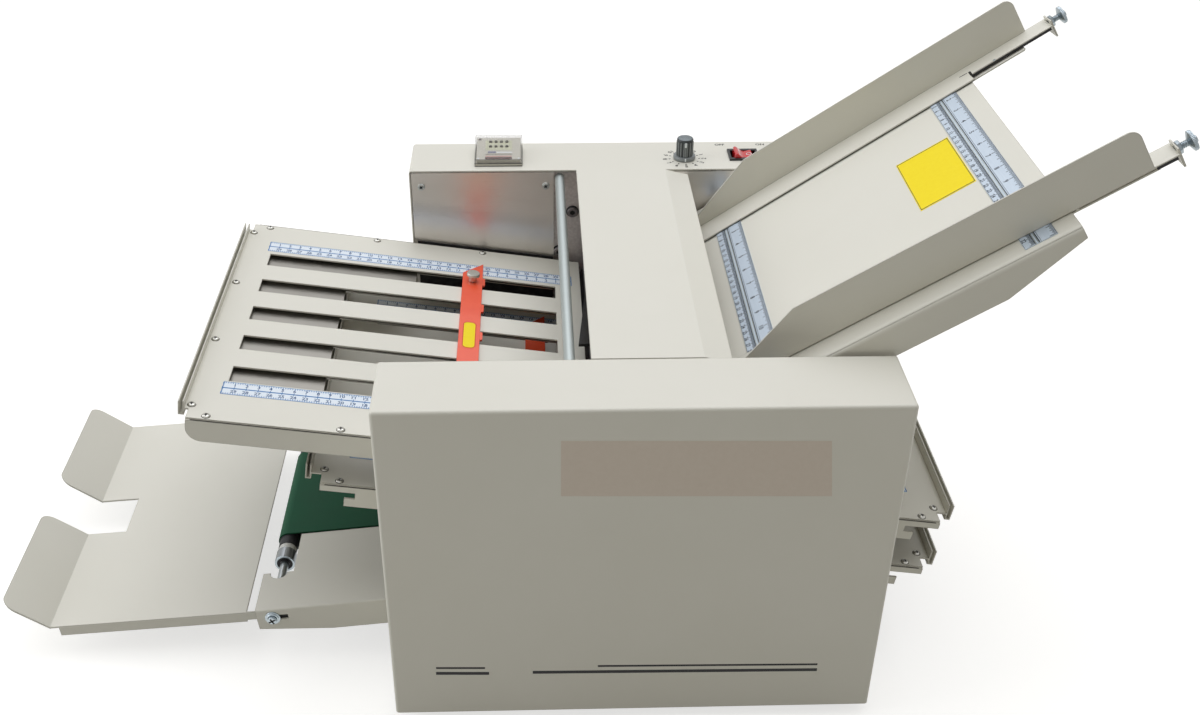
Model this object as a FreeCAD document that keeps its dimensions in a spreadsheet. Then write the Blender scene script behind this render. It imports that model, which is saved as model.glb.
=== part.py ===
import FreeCAD, Part
import math
import os
import re
import Sketcher

# Desk paper folding machine: four buckle plates, a sloping feed table, a belt delivery and a loose out tray.
# Millimetres. +X runs towards the feed table, +Y away from the operator's side cover, +Z up.
# The origin is on the desk, under the middle of the body.

DIMENSIONS = {
    # side covers, with the sheet they are folded from
    "cover_length": 416.0,
    "cover_height": 321.0,
    "cover_depth": 70.0,
    "cover_skin": 1.5,
    "cover_bend": 3.0,
    "inner_width": 354.0,
    # sheet metal bridge over the rollers
    "bridge_left": -38.0,
    "bridge_bend": 53.0,
    "bridge_right": 76.0,
    "bridge_drop": 5.0,
    "bridge_gap": 1.2,
    # base, feet and side frames
    "foot_height": 12.0,
    "foot_radius": 14.0,
    "foot_reach_x": 170.0,
    "foot_inset": 35.0,
    "base_thick": 3.0,
    "base_margin": 2.5,
    "frame_thick": 8.0,
    "frame_recess": 3.0,
    "frame_low_left": -90.0,
    "frame_top_left": -62.0,
    "frame_right": 102.0,
    "frame_step": 222.0,
    "frame_top_gap": 2.0,
    "liner_thick": 1.5,
    "liner_top_right": -61.0,
    "liner_gap": 3.0,
    # bars between the frames
    "top_bar_x": -55.0,
    "top_bar_z": 324.0,
    "top_bar_radius": 4.75,
    "finger_bar_x": -22.0,
    "finger_bar_z": 267.0,
    "finger_bar_radius": 4.0,
    "pin_reach": 40.0,
    "tie_radius": 6.0,
    "tie_inset_left": 18.0,
    "tie_inset_right": 14.0,
    "tie_inset_upper": 10.0,
    "tie_rise_left": 25.0,
    "tie_rise_right": 30.0,
    "tie_rise_upper": 200.0,
    "table_bar_radius": 5.0,
    "table_bar_place": -20.0,
    "table_bar_drop": 15.0,
    "toe_bar_radius": 4.0,
    "toe_bar_inset": 3.0,
    "toe_bar_drop": 8.0,
    # screws that show inside
    "liner_screw_inset": 12.0,
    "liner_screw_edge": 8.0,
    "liner_screw_drop": 15.5,
    "liner_screw_rise": 45.0,
    "frame_screw_x_1": -41.5,
    "frame_screw_z_1": 285.0,
    "frame_screw_x_2": -55.7,
    "frame_screw_z_2": 239.0,
    "frame_screw_x_3": 60.0,
    "frame_screw_z_3": 320.0,
    # fold rollers, in a stack square to the plates
    "plate_tilt": 8.3,
    "stack_shift": -50.0,
    "top_roller_level": 220.5,
    "roller_pitch": 28.0,
    "nip_gap": 0.3,
    "roller_gap": 7.0,
    "journal_radius": 4.0,
    "running_clearance": 0.05,
    "bearing_radius": 11.0,
    "bearing_width": 7.0,
    "gear_module": 1.0,
    "gear_teeth": 28.0,
    "gear_width": 8.0,
    "gear_backlash": 0.3,
    "gear_gap": 3.0,
    # belts and pulleys behind the covers
    "pulley_radius": 12.0,
    "pulley_width": 10.0,
    "drive_gap": 5.0,
    "band_offset": 6.0,
    "band_gap": 4.0,
    "belt_clearance": 0.3,
    "belt_thick": 2.0,
    # motor
    "motor_x": 62.0,
    "motor_z": 75.0,
    "motor_radius": 32.0,
    "motor_length": 38.0,
    # feed roller and separator
    "feed_slope_place": -56.0,
    "feed_radius": 20.0,
    "feed_width": 60.0,
    "feed_rise": 1.5,
    "separator_gap": 0.7,
    "separator_width": 40.0,
    "separator_length": 16.0,
    "separator_height": 34.0,
    "separator_travel": 3.0,
    # feed table
    "table_tilt": 32.1,
    "table_x": 100.2,
    "table_z": 298.0,
    "table_low": -92.0,
    "table_high": 277.0,
    "table_gap": 4.5,
    "table_skin": 1.5,
    "table_bend": 5.0,
    "table_wall": 30.0,
    "table_wall_end": 11.6,
    "table_wall_break": 205.0,
    "ruler_width": 27.0,
    "ruler_thick": 0.8,
    "ruler_inset": 6.5,
    "ruler_low": -2.0,
    "ruler_high": 232.5,
    "groove_place": 9.0,
    "groove_width": 3.0,
    "groove_depth": 0.4,
    # paper guides
    "guide_near_inset": 23.0,
    "guide_far_inset": 39.8,
    "guide_far_skew": 4.7,
    "guide_low": -42.0,
    "guide_high": 344.0,
    "guide_height": 40.5,
    "guide_front": 55.0,
    "guide_skin": 1.5,
    "guide_flange": 32.0,
    "guide_bar": 21.0,
    "guide_bar_end": 364.0,
    "guide_corner": 9.0,
    "guide_lift": 0.3,
    "clamp_start": 262.0,
    "clamp_width": 12.0,
    "clamp_gap": 0.4,
    "screw_head_radius": 8.5,
    "screw_head_width": 5.0,
    "screw_stem_radius": 3.0,
    "screw_neck": 5.5,
    "screw_drop": 12.0,
    # fold plates
    "plate_gap": 4.5,
    "plate_skin": 1.5,
    "plate_inset": 1.5,
    "plate_throat": 3.5,
    "plate_mouth": 16.0,
    "plate_steel": 1.2,
    "plate_slot": 23.0,
    "plate_slot_pitch": 50.9,
    "plate_slot_start": 26.0,
    "plate_slot_end": 24.5,
    "steel_slot": 31.0,
    "steel_slot_end": 104.0,
    "steel_slot_end_far": 170.0,
    "rail_depth": 22.0,
    "rail_flange": 14.0,
    "rail_round": 13.0,
    "hook_lip": 7.4,
    "hook_slot": 6.0,
    "hook_reach": 30.0,
    "hook_start": 21.0,
    "end_notch": 12.5,
    "end_wall": 1.2,
    "end_gap": 2.6,
    "end_drop": 7.0,
    "length_plate_1": 336.3,
    "length_plate_2": 281.3,
    "length_plate_3": 224.7,
    "length_plate_4": 281.3,
    "rise_plate_1": 3.7,
    "rise_plate_2": 2.5,
    "rise_plate_3": 6.2,
    "rise_plate_4": 5.6,
    "tongue_plate_1": 3.6,
    "tongue_plate_2": 9.0,
    "end_height_plate_1": 6.5,
    "end_height_plate_2": 8.5,
    "plate_screw_radius": 3.0,
    "plate_screw_rise": 1.2,
    "plate_screw_pitch": 109.5,
    "plate_screw_first": 15.8,
    # stops on the plates
    "stop_width": 20.0,
    "stop_thick": 2.0,
    "stop_lift": 0.3,
    "stop_reach": 138.0,
    "stop_shoulder": 117.0,
    "finger_width": 12.0,
    "finger_length": 6.0,
    "finger_gap": 0.5,
    "stop_place_1": 110.3,
    "stop_place_2": 120.0,
    "stop_place_3": 39.8,
    "stop_place_4": 140.0,
    "knurl_radius": 6.2,
    "knurl_height": 9.0,
    "stud_radius": 2.5,
    # belt conveyor
    "conveyor_tilt": 5.855,
    "conveyor_x": -60.4555,
    "conveyor_z": 90.3611,
    "conveyor_length": 279.0,
    "arm_gap": 7.0,
    "arm_skin": 1.5,
    "arm_flange_y": 66.8,
    "arm_nose_y": 120.0,
    "arm_nose": 28.5,
    "arm_nose_depth": 21.8,
    "arm_depth": 28.6,
    "arm_depth_place": 66.0,
    "conveyor_roller": 9.0,
    "idler_place": 14.7,
    "drive_inset": 8.0,
    "belt_drop": -1.2,
    "belt_width": 131.0,
    "belt_skin": 1.2,
    "idler_half": 77.0,
    "collar_radius": 8.4,
    "collar_end": 84.0,
    "hub_radius": 9.6,
    "hub_end": 97.0,
    # out tray
    "tray_tilt": 4.43,
    "tray_step": 11.5,
    "tray_drop": 13.9,
    "tray_length": 181.5,
    "tray_gap": 13.5,
    "tray_skin": 1.5,
    "tray_flange": 11.0,
    "tray_notch": 26.0,
    "tray_notch_depth": 38.0,
    "tab_reach": 36.0,
    "tab_rise": 32.0,
    "tab_round": 10.0,
    "tray_ear_reach": 21.0,
    "tray_ear_depth": 9.0,
    "tray_pin_place": 17.0,
    "tray_pin_drop": 4.0,
    "tray_pin_radius": 2.5,
    "tray_pin_grip": 8.5,
    # counter on the far cover
    "counter_x": -117.0,
    "counter_inset": 10.5,
    "counter_width": 48.5,
    "counter_depth": 44.5,
    "counter_rim": 3.0,
    "counter_body_depth": 30.0,
    "lid_front_height": 8.0,
    "lid_back_height": 15.0,
    "lid_skin": 1.2,
    "counter_key_pitch": 5.6,
    "counter_key_width": 4.0,
    "counter_key_length": 4.6,
    "counter_key_rise": 1.8,
    "counter_key_row_1": 24.5,
    "counter_key_row_2": 32.5,
    "counter_hinge_radius": 1.3,
    "display_inset": 5.5,
    "display_width": 28.0,
    "display_length": 9.0,
    # speed knob and switch on the far cover
    "knob_x": 75.0,
    "knob_inset": 27.0,
    "knob_radius": 8.6,
    "knob_skirt": 11.4,
    "knob_skirt_height": 3.0,
    "knob_height": 24.0,
    "knob_lift": 0.5,
    "pot_radius": 11.5,
    "pot_height": 12.0,
    "pot_shaft": 3.0,
    "switch_x": 137.0,
    "switch_inset": 32.5,
    "switch_length": 31.0,
    "switch_width": 26.0,
    "switch_rim": 2.0,
    "switch_body": 24.0,
    "rocker_length": 21.0,
    "rocker_width": 17.0,
    "rocker_slack": 0.4,
    "rocker_pin": 1.5,
    # mains inlet at the back
    "inlet_x": 150.0,
    "inlet_z": 52.0,
    "inlet_width": 47.0,
    "inlet_height": 27.0,
    "inlet_depth": 24.0,
    "inlet_rim": 2.5,
    # control board
    "board_x": -147.0,
    "board_z": 120.0,
    "board_length": 105.0,
    "board_height": 80.0,
    "board_thick": 1.6,
    "board_standoff": 6.0,
}

doc = FreeCAD.newDocument("paper_folding_machine")
sheet = doc.addObject("Spreadsheet::Sheet", "Dims")
for row, (alias, number) in enumerate(DIMENSIONS.items(), 1):
    sheet.set(f"A{row}", alias)
    sheet.set(f"B{row}", str(number))
    sheet.setAlias(f"B{row}", alias)
doc.recompute()

ALIAS = re.compile(r"\b(" + "|".join(sorted(DIMENSIONS, key=len, reverse=True)) + r")\b")
pieces = []


# ---------------------------------------------------------------- helpers


def bound(text):
    """The expression with each dimension's name pointed at its cell in the sheet."""
    return ALIAS.sub(r"Dims.\1", str(text))


def value(text):
    """The number that an expression of dimensions has now."""
    return float(sheet.evalExpression(str(text)))


def node(thing, name):
    """Names a finished sub-part; its label names its file."""
    thing.Label = name
    pieces.append(thing)
    return thing


def place(thing, x, y, z, *turns):
    """Binds a Placement: a point, and turns given as (axis, angle) with the last applied first."""
    axes = {"X": "vector(1; 0; 0)", "Y": "vector(0; 1; 0)", "Z": "vector(0; 0; 1)"}
    turning = " * ".join(f"rotation({axes[axis]}; {bound(angle)})" for axis, angle in turns)
    spot = f"vector({bound(x)}; {bound(y)}; {bound(z)})"
    thing.setExpression("Placement", f"placement({spot}; {turning or 'rotation(vector(0; 0; 1); 0)'})")
    return thing


def box(low, high):
    """A block between two corners given as expressions."""
    block = doc.addObject("Part::Box", "Block")
    for key, a, b in zip(("Length", "Width", "Height"), low, high):
        block.setExpression(key, bound(f"({b}) - ({a})"))
    for key, a in zip("xyz", low):
        block.setExpression(f"Placement.Base.{key}", bound(a))
    return block


def rod(radius, start, end, axis="Y"):
    """A cylinder along one axis between two points given as expressions."""
    bar = doc.addObject("Part::Cylinder", "Rod")
    bar.setExpression("Radius", bound(radius))
    index = "XYZ".index(axis)
    bar.setExpression("Height", bound(f"({end[index]}) - ({start[index]})"))
    turns = {"X": [("Y", "90")], "Y": [("X", "-90")], "Z": []}[axis]
    return place(bar, *start, *turns)


def cut(base, *tools):
    """The base less every tool."""
    result = doc.addObject("Part::Cut", "Cut")
    result.Base = base
    result.Tool = tools[0] if len(tools) == 1 else group(*tools)
    return result


def fuse(*parts):
    """One solid from parts that meet."""
    result = doc.addObject("Part::MultiFuse", "Fuse")
    result.Shapes = list(parts)
    return result


def group(*parts):
    """Separate solids that share one node."""
    result = doc.addObject("Part::Compound", "Group")
    result.Links = list(parts)
    return result


def mirrored(thing):
    """The same piece on the other side of the middle plane, Y = 0."""
    result = doc.addObject("Part::Mirroring", "Mirror")
    result.Source = thing
    result.Normal = FreeCAD.Vector(0, 1, 0)
    return result


def body():
    return doc.addObject("PartDesign::Body", "Body")


def sketch(owner, plane, level, loops):
    """A sketch of closed polygons; each corner is held by two dimensions bound to the sheet."""
    drawing = owner.newObject("Sketcher::SketchObject", "Sketch")
    base = next(f for f in owner.Origin.OriginFeatures if f.Role == plane + "_Plane")
    drawing.AttachmentSupport = [(base, "")]
    drawing.MapMode = "FlatFace"
    side = -1 if plane == "XZ" else 1
    drawing.setExpression("AttachmentOffset.Base.z", bound(f"{side} * ({level})"))
    for loop in loops:
        first = drawing.GeometryCount
        corners = [FreeCAD.Vector(value(u), value(v), 0) for u, v in loop]
        for i, corner in enumerate(corners):
            drawing.addGeometry(Part.LineSegment(corner, corners[(i + 1) % len(corners)]), False)
        for i, (u, v) in enumerate(loop):
            following = first + (i + 1) % len(loop)
            drawing.addConstraint(Sketcher.Constraint("Coincident", first + i, 2, following, 1))
            for kind, text in (("DistanceX", u), ("DistanceY", v)):
                held = Sketcher.Constraint(kind, -1, 1, first + i, 1, value(text))
                number = drawing.addConstraint(held)
                drawing.setExpression(f"Constraints[{number}]", bound(text))
    return drawing


def pad(owner, plane, loops, low, high):
    """Adds a prism between two levels along the plane's normal axis."""
    start = high if plane == "XZ" else low
    feature = owner.newObject("PartDesign::Pad", "Pad")
    feature.Profile = sketch(owner, plane, start, loops)
    feature.setExpression("Length", bound(f"({high}) - ({low})"))
    return feature


def pocket(owner, plane, loops, low, high):
    """Cuts a prism between two levels along the plane's normal axis."""
    start = low if plane == "XZ" else high
    feature = owner.newObject("PartDesign::Pocket", "Pocket")
    feature.Profile = sketch(owner, plane, start, loops)
    feature.setExpression("Length", bound(f"({high}) - ({low})"))
    return feature


def turned(profile, y_shift="0"):
    """A turned piece about the Y axis, from (radius, y) corners."""
    owner = body()
    feature = owner.newObject("PartDesign::Revolution", "Revolution")
    drawing = sketch(owner, "YZ", "0", [[(f"({y}) + ({y_shift})", r) for r, y in profile]])
    feature.Profile = drawing
    feature.ReferenceAxis = (drawing, ["H_Axis"])
    feature.Angle = 360.0
    return owner


def soften(owner, radius, chosen):
    """Rounds the edges of a body that a test picks by direction and middle."""
    doc.recompute()
    base = owner.Tip
    names = []
    for number, edge in enumerate(base.Shape.Edges, 1):
        if len(edge.Vertexes) == 2:
            ends = edge.Vertexes[1].Point - edge.Vertexes[0].Point
            if ends.Length > 0 and chosen(ends.normalize(), edge.CenterOfMass):
                names.append(f"Edge{number}")
    feature = owner.newObject("PartDesign::Fillet", "Fillet")
    feature.Base = (base, names)
    feature.setExpression("Radius", bound(radius))
    return feature


def near(a, b, slack=0.01):
    return abs(a - b) < slack


def rectangle(u1, v1, u2, v2):
    return [(u1, v1), (u2, v1), (u2, v2), (u1, v2)]


def shape_feature(shape):
    """A piece whose outline is worked out in code from the sheet's numbers."""
    feature = doc.addObject("Part::Feature", "Feature")
    feature.Shape = shape
    return feature


# ---------------------------------------------------------------- shared places

BODY_BOTTOM = "foot_height"
BODY_TOP = "(foot_height + cover_height)"
TOP_INSIDE = "(foot_height + cover_height - cover_skin)"
INNER_Y = "(inner_width / 2)"
OUTER_Y = "(inner_width / 2 + cover_depth)"
FRAME_Y = "(inner_width / 2 + frame_recess)"
FRAME_BACK = "(inner_width / 2 + frame_recess + frame_thick)"
BASE_TOP = "(foot_height + base_thick)"
FOOT_Y = "(inner_width / 2 + foot_inset)"
ROLLER_HALF = f"({FRAME_Y} - roller_gap)"
DRIVE_PLANE = f"({FRAME_BACK} + motor_length + drive_gap)"
BAND_PLANE = f"({FRAME_BACK} + band_offset)"
BAND_PLANE_2 = f"({BAND_PLANE} + pulley_width + band_gap)"
TABLE_EDGE = "(inner_width / 2 - table_gap)"
RULER_EDGE = f"({TABLE_EDGE} - ruler_inset)"
PLATE_EDGE = "(inner_width / 2 - plate_gap)"
ARM_Y = "(inner_width / 2 - arm_gap)"
TRAY_EDGE = f"({ARM_Y} - tray_gap)"
COUNTER_FRONT = "(inner_width / 2 + counter_inset)"
KNOB_Y = "(inner_width / 2 + knob_inset)"
SWITCH_Y = "(inner_width / 2 + switch_inset)"
ROLLER_RADIUS = "(roller_pitch / 2 - nip_gap / 2)"
GUIDE_BASE = "(ruler_thick + guide_lift)"
SCREW_LEVEL = "(ruler_thick + guide_lift + 1)"


def tilted(level, along):
    """World x and z of a point given square to the fold plates and along them."""
    x = f"(({level}) * sin(plate_tilt) + ({along}) * cos(plate_tilt))"
    z = f"(foot_height + ({level}) * cos(plate_tilt) - ({along}) * sin(plate_tilt))"
    return x, z


def sloped(along, above):
    """World x and z of a point given along the feed table and square to it."""
    x = f"(table_x + ({along}) * cos(table_tilt) - ({above}) * sin(table_tilt))"
    z = f"(table_z + ({along}) * sin(table_tilt) + ({above}) * cos(table_tilt))"
    return x, z


# The conveyor's arms end at conveyor_x, conveyor_z inside the frames, and reach out from there.
CONVEYOR_START = (
    "(conveyor_x - conveyor_length * cos(conveyor_tilt))",
    "(conveyor_z - conveyor_length * sin(conveyor_tilt))",
)
DRIVE_PLACE = "(conveyor_length - drive_inset)"
TRAY_START = (f"({CONVEYOR_START[0]} - tray_step)", f"({CONVEYOR_START[1]} - tray_drop)")


def carried(along, above):
    """World x and z of a point given along the conveyor and square to it."""
    x = f"({CONVEYOR_START[0]} + ({along}) * cos(conveyor_tilt) - ({above}) * sin(conveyor_tilt))"
    z = f"({CONVEYOR_START[1]} + ({along}) * sin(conveyor_tilt) + ({above}) * cos(conveyor_tilt))"
    return x, z


def roller_axis(number):
    return tilted(f"top_roller_level - {number - 1} * roller_pitch", "stack_shift")


def in_tray(along, above):
    """World x and z of a point given along the out tray and square to it."""
    x = f"({TRAY_START[0]} + ({along}) * cos(tray_tilt) - ({above}) * sin(tray_tilt))"
    z = f"({TRAY_START[1]} + ({along}) * sin(tray_tilt) + ({above}) * cos(tray_tilt))"
    return x, z


FEED_AXIS = sloped("feed_slope_place", "feed_rise - feed_radius")
TRAY_PIN = in_tray("tray_pin_place", "-tray_pin_drop")
IDLER_DROP = "(-belt_drop - belt_skin - belt_clearance - conveyor_roller)"
DRIVE_AXIS = carried(DRIVE_PLACE, IDLER_DROP)
TABLE_BARS = [
    (*sloped("table_bar_place", "-table_bar_drop"), "table_bar_radius"),
    (*sloped("table_low + toe_bar_inset", "-toe_bar_drop"), "toe_bar_radius"),
]
LOW_BARS = [
    ("frame_low_left + tie_inset_left", f"{BASE_TOP} + tie_rise_left", "tie_radius"),
    ("frame_right - tie_inset_right", f"{BASE_TOP} + tie_rise_right", "tie_radius"),
    ("frame_right - tie_inset_upper", f"{BASE_TOP} + tie_rise_upper", "tie_radius"),
]


# ---------------------------------------------------------------- body


def cover(side):
    """A folded side cover, open towards the machine and at the bottom."""
    shell = body()
    half = "cover_length / 2"
    outer, inner = ("inner_width / 2 + cover_depth", "inner_width / 2")
    low, high = (f"-({outer})", f"-({inner})") if side < 0 else (inner, outer)
    pad(shell, "XZ", [rectangle(f"-{half}", BODY_BOTTOM, half, BODY_TOP)], low, high)
    face = side * value(OUTER_Y)
    top = value(BODY_TOP)
    end = value("cover_length") / 2

    def outer_edge(direction, middle):
        on_face = near(middle.y, face) and (near(middle.z, top) or near(abs(middle.x), end))
        along_top = near(abs(direction.y), 1) and near(middle.z, top)
        return on_face or along_top

    soften(shell, "cover_bend", outer_edge)
    hollow_low, hollow_high = (
        (f"-({outer}) + cover_skin", high) if side < 0 else (low, f"{outer} - cover_skin")
    )
    inside = rectangle(f"-({half}) + cover_skin", f"{BODY_BOTTOM} - 1", f"{half} - cover_skin", TOP_INSIDE)
    pocket(shell, "XZ", [inside], hollow_low, hollow_high)
    return shell


def bridge():
    """The sheet over the rollers, with its lip bent down towards the feed table."""
    sheet_metal = body()
    lip_bottom = f"{BODY_TOP} - cover_skin - bridge_drop"
    profile = [
        ("bridge_left", TOP_INSIDE),
        ("bridge_left", BODY_TOP),
        ("bridge_bend", BODY_TOP),
        ("bridge_right", f"{BODY_TOP} - bridge_drop"),
        ("bridge_right", lip_bottom),
        ("bridge_bend", TOP_INSIDE),
    ]
    pad(sheet_metal, "XZ", [profile], f"-{INNER_Y} + bridge_gap", INNER_Y)
    return sheet_metal


def far_cover():
    """The cover with the controls; the bridge is welded to it."""
    openings = [
        box(
            ("counter_x - counter_width / 2 + 2", f"{COUNTER_FRONT} + 2", f"{TOP_INSIDE} - 1"),
            (
                "counter_x + counter_width / 2 - 2",
                f"{COUNTER_FRONT} + counter_depth - 2",
                f"{BODY_TOP} + 1",
            ),
        ),
        rod("pot_shaft + 1.5", ("knob_x", KNOB_Y, f"{TOP_INSIDE} - 1"), ("0", "0", f"{BODY_TOP} + 1"), "Z"),
        box(
            (
                "switch_x - switch_length / 2 + 1.5",
                f"{SWITCH_Y} - switch_width / 2 + 1.5",
                f"{TOP_INSIDE} - 1",
            ),
            (
                "switch_x + switch_length / 2 - 1.5",
                f"{SWITCH_Y} + switch_width / 2 - 1.5",
                f"{BODY_TOP} + 1",
            ),
        ),
        box(
            (
                "inlet_x - inlet_width / 2 + 2",
                f"{OUTER_Y} - cover_skin - 1",
                "inlet_z - inlet_height / 2 + 2",
            ),
            ("inlet_x + inlet_width / 2 - 2", f"{OUTER_Y} + 1", "inlet_z + inlet_height / 2 - 2"),
        ),
    ]
    openings[1].setExpression("Height", bound("cover_skin + 2"))
    return node(cut(fuse(cover(1), bridge()), *openings), "far_cover")


def base_plate():
    half_x = "cover_length / 2 - cover_skin - base_margin"
    half_y = f"{OUTER_Y} - cover_skin - base_margin"
    plate = box((f"-({half_x})", f"-({half_y})", BODY_BOTTOM), (half_x, half_y, BASE_TOP))
    return node(plate, "base_plate")


def feet():
    """Four rubber feet under the covers and one under the middle of the base plate."""
    spots = [(0, 0)] + [(sx, sy) for sx in (-1, 1) for sy in (-1, 1)]
    made = [
        rod(
            "foot_radius",
            (f"{sx} * foot_reach_x", f"{sy} * {FOOT_Y}", "0"),
            ("0", "0", "foot_height"),
            "Z",
        )
        for sx, sy in spots
    ]
    return node(group(*made), "feet")


def frame_outline():
    top = f"{TOP_INSIDE} - frame_top_gap"
    return [
        ("frame_low_left", BASE_TOP),
        ("frame_right", BASE_TOP),
        ("frame_right", top),
        ("frame_top_left", top),
        ("frame_top_left", "frame_step"),
        ("frame_low_left", "frame_step"),
    ]


def bearing_axes():
    """The axes that run in bearings: fold rollers, feed roller and conveyor drive roller."""
    return [roller_axis(n) for n in range(1, 7)] + [FEED_AXIS, DRIVE_AXIS]


def side_frame(side, name):
    """A thick plate with a bored seat for each bearing."""
    plate = body()
    low, high = (f"-{FRAME_BACK}", f"-{FRAME_Y}") if side < 0 else (FRAME_Y, FRAME_BACK)
    pad(plate, "XZ", [frame_outline()], low, high)
    bores = [
        rod("bearing_radius + running_clearance", (x, f"({low}) - 1", z), (x, f"({high}) + 1", z))
        for x, z in bearing_axes()
    ]
    return node(cut(plate, *bores), name)


def bearings():
    """One ring for each end of each running shaft, seated in the side frames."""
    rings = []
    for x, z in bearing_axes():
        for side in (-1, 1):
            middle = f"{side} * ({FRAME_Y} + frame_thick / 2)"
            low = f"{middle} - bearing_width / 2"
            high = f"{middle} + bearing_width / 2"
            ring = rod("bearing_radius", (x, low, z), (x, high, z))
            hole = rod("journal_radius + running_clearance", (x, f"{low} - 1", z), (x, f"{high} + 1", z))
            rings.append(cut(ring, hole))
    return node(group(*rings), "roller_bearings")


def liner_panels():
    """The bright sheets that close the covers towards the machine."""
    end = "cover_length / 2 - cover_skin - 0.5"
    left_panel = [
        (f"-({end})", BASE_TOP),
        ("frame_low_left - liner_gap", BASE_TOP),
        ("frame_low_left - liner_gap", "frame_step + liner_gap"),
        ("liner_top_right", "frame_step + liner_gap"),
        ("liner_top_right", f"{TOP_INSIDE} - 0.5"),
        (f"-({end})", f"{TOP_INSIDE} - 0.5"),
    ]
    right_panel = rectangle("frame_right + liner_gap", BASE_TOP, end, f"{TOP_INSIDE} - 0.5")
    made = []
    for side in (-1, 1):
        for panel in (left_panel, right_panel):
            piece = body()
            low, high = INNER_Y, f"{INNER_Y} + liner_thick"
            if side < 0:
                low, high = f"-({high})", f"-({low})"
            pad(piece, "XZ", [panel], low, high)
            made.append(piece)
    return node(group(*made), "cover_liners")


def tie_bars():
    """The round bars that hold the side frames apart, and the yoke over the feed roller."""
    spots = [("top_bar_x", "top_bar_z", "top_bar_radius")]
    spots += LOW_BARS + TABLE_BARS
    spots += [("finger_bar_x", "finger_bar_z", "finger_bar_radius")]
    made = [rod(r, (x, f"-{FRAME_Y}", z), (x, FRAME_Y, z)) for x, z, r in spots]
    return node(group(*made, separator_yoke()), "tie_bars")


# ---------------------------------------------------------------- rollers and drive


def involute_gear():
    """A spur gear about Y: involute flanks, thinned by the backlash, on a bored disc."""
    teeth = int(value("gear_teeth"))
    module = value("gear_module")
    pitch = teeth * module / 2
    base = pitch * math.cos(math.radians(20))
    root = pitch - 1.2 * module
    tip = pitch + 0.9 * module
    half_tooth = (math.pi * module / 2 - value("gear_backlash")) / (2 * pitch)

    def flank(radius):
        """How far the involute has turned back from the pitch circle, as an angle."""
        def spread(r):
            slant = math.acos(min(1.0, base / r))
            return math.tan(slant) - slant
        return half_tooth + spread(pitch) - spread(max(radius, base))

    radii = [root, base, (base + pitch) / 2, pitch, (pitch + tip) / 2, tip]
    corners = []
    for tooth in range(teeth):
        centre = 2 * math.pi * tooth / teeth
        rising = [(r, centre - flank(r)) for r in radii]
        falling = [(r, centre + flank(r)) for r in reversed(radii)]
        for r, angle in rising + falling:
            corners.append(FreeCAD.Vector(r * math.cos(angle), 0, r * math.sin(angle)))
    outline = Part.Face(Part.makePolygon(corners + corners[:1]))
    return outline.extrude(FreeCAD.Vector(0, value("gear_width"), 0))


def pulley(low, high):
    """A flat belt pulley about Y with two low rims."""
    rim = "pulley_radius + belt_clearance + belt_thick"
    return turned([
        ("journal_radius", low),
        (rim, low),
        (rim, f"{low} + 1.2"),
        ("pulley_radius", f"{low} + 1.2"),
        ("pulley_radius", f"{high} - 1.2"),
        (rim, f"{high} - 1.2"),
        (rim, high),
        ("journal_radius", high),
    ])


GEAR_LOW = f"({FRAME_BACK} + gear_gap)"


def fold_roller(number):
    """A roller with its journals and gear; two of them also carry a belt pulley."""
    far_end = {6: f"{DRIVE_PLANE} + pulley_width"}.get(number, f"{GEAR_LOW} + gear_width + 1")
    near_end = {2: f"{BAND_PLANE} + pulley_width", 6: f"{BAND_PLANE_2} + pulley_width"}.get(
        number, f"{FRAME_BACK} + 2"
    )
    half = ROLLER_HALF
    core = turned([
        ("0", f"-({near_end})"),
        ("journal_radius", f"-({near_end})"),
        ("journal_radius", f"-({half})"),
        (ROLLER_RADIUS, f"-({half})"),
        (ROLLER_RADIUS, half),
        ("journal_radius", half),
        ("journal_radius", far_end),
        ("0", far_end),
    ])
    bore = Part.makeCylinder(value("journal_radius"), value("gear_width"), FreeCAD.Vector(0, 0, 0),
                             FreeCAD.Vector(0, 1, 0))
    mesh_turn = -90 - value("plate_tilt")
    if number % 2 == 0:
        mesh_turn += 180 / value("gear_teeth")
    wheel = involute_gear().cut(bore)
    wheel.rotate(FreeCAD.Vector(0, 0, 0), FreeCAD.Vector(0, 1, 0), -mesh_turn)
    gear = shape_feature(wheel)
    gear.setExpression("Placement.Base.y", bound(GEAR_LOW))
    solids = [core, gear]
    if number == 2:
        solids.append(pulley(f"-({BAND_PLANE} + pulley_width)", f"-{BAND_PLANE}"))
    if number == 6:
        solids.append(pulley(f"-({BAND_PLANE_2} + pulley_width)", f"-{BAND_PLANE_2}"))
        solids.append(pulley(DRIVE_PLANE, f"{DRIVE_PLANE} + pulley_width"))
    x, z = roller_axis(number)
    return node(place(group(*solids), x, "0", z), f"fold_roller_{number}")


def feed_roller():
    """The rubber feed roller on its shaft, driven from the second fold roller."""
    half = "feed_width / 2"
    near_end = f"{BAND_PLANE} + pulley_width"
    core = turned([
        ("0", f"-({near_end})"),
        ("journal_radius", f"-({near_end})"),
        ("journal_radius", f"-({half})"),
        ("feed_radius", f"-({half})"),
        ("feed_radius", half),
        ("journal_radius", half),
        ("journal_radius", f"{FRAME_BACK} + 2"),
        ("0", f"{FRAME_BACK} + 2"),
    ])
    made = group(core, pulley(f"-({BAND_PLANE} + pulley_width)", f"-{BAND_PLANE}"))
    return node(place(made, FEED_AXIS[0], "0", FEED_AXIS[1]), "feed_roller")


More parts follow.
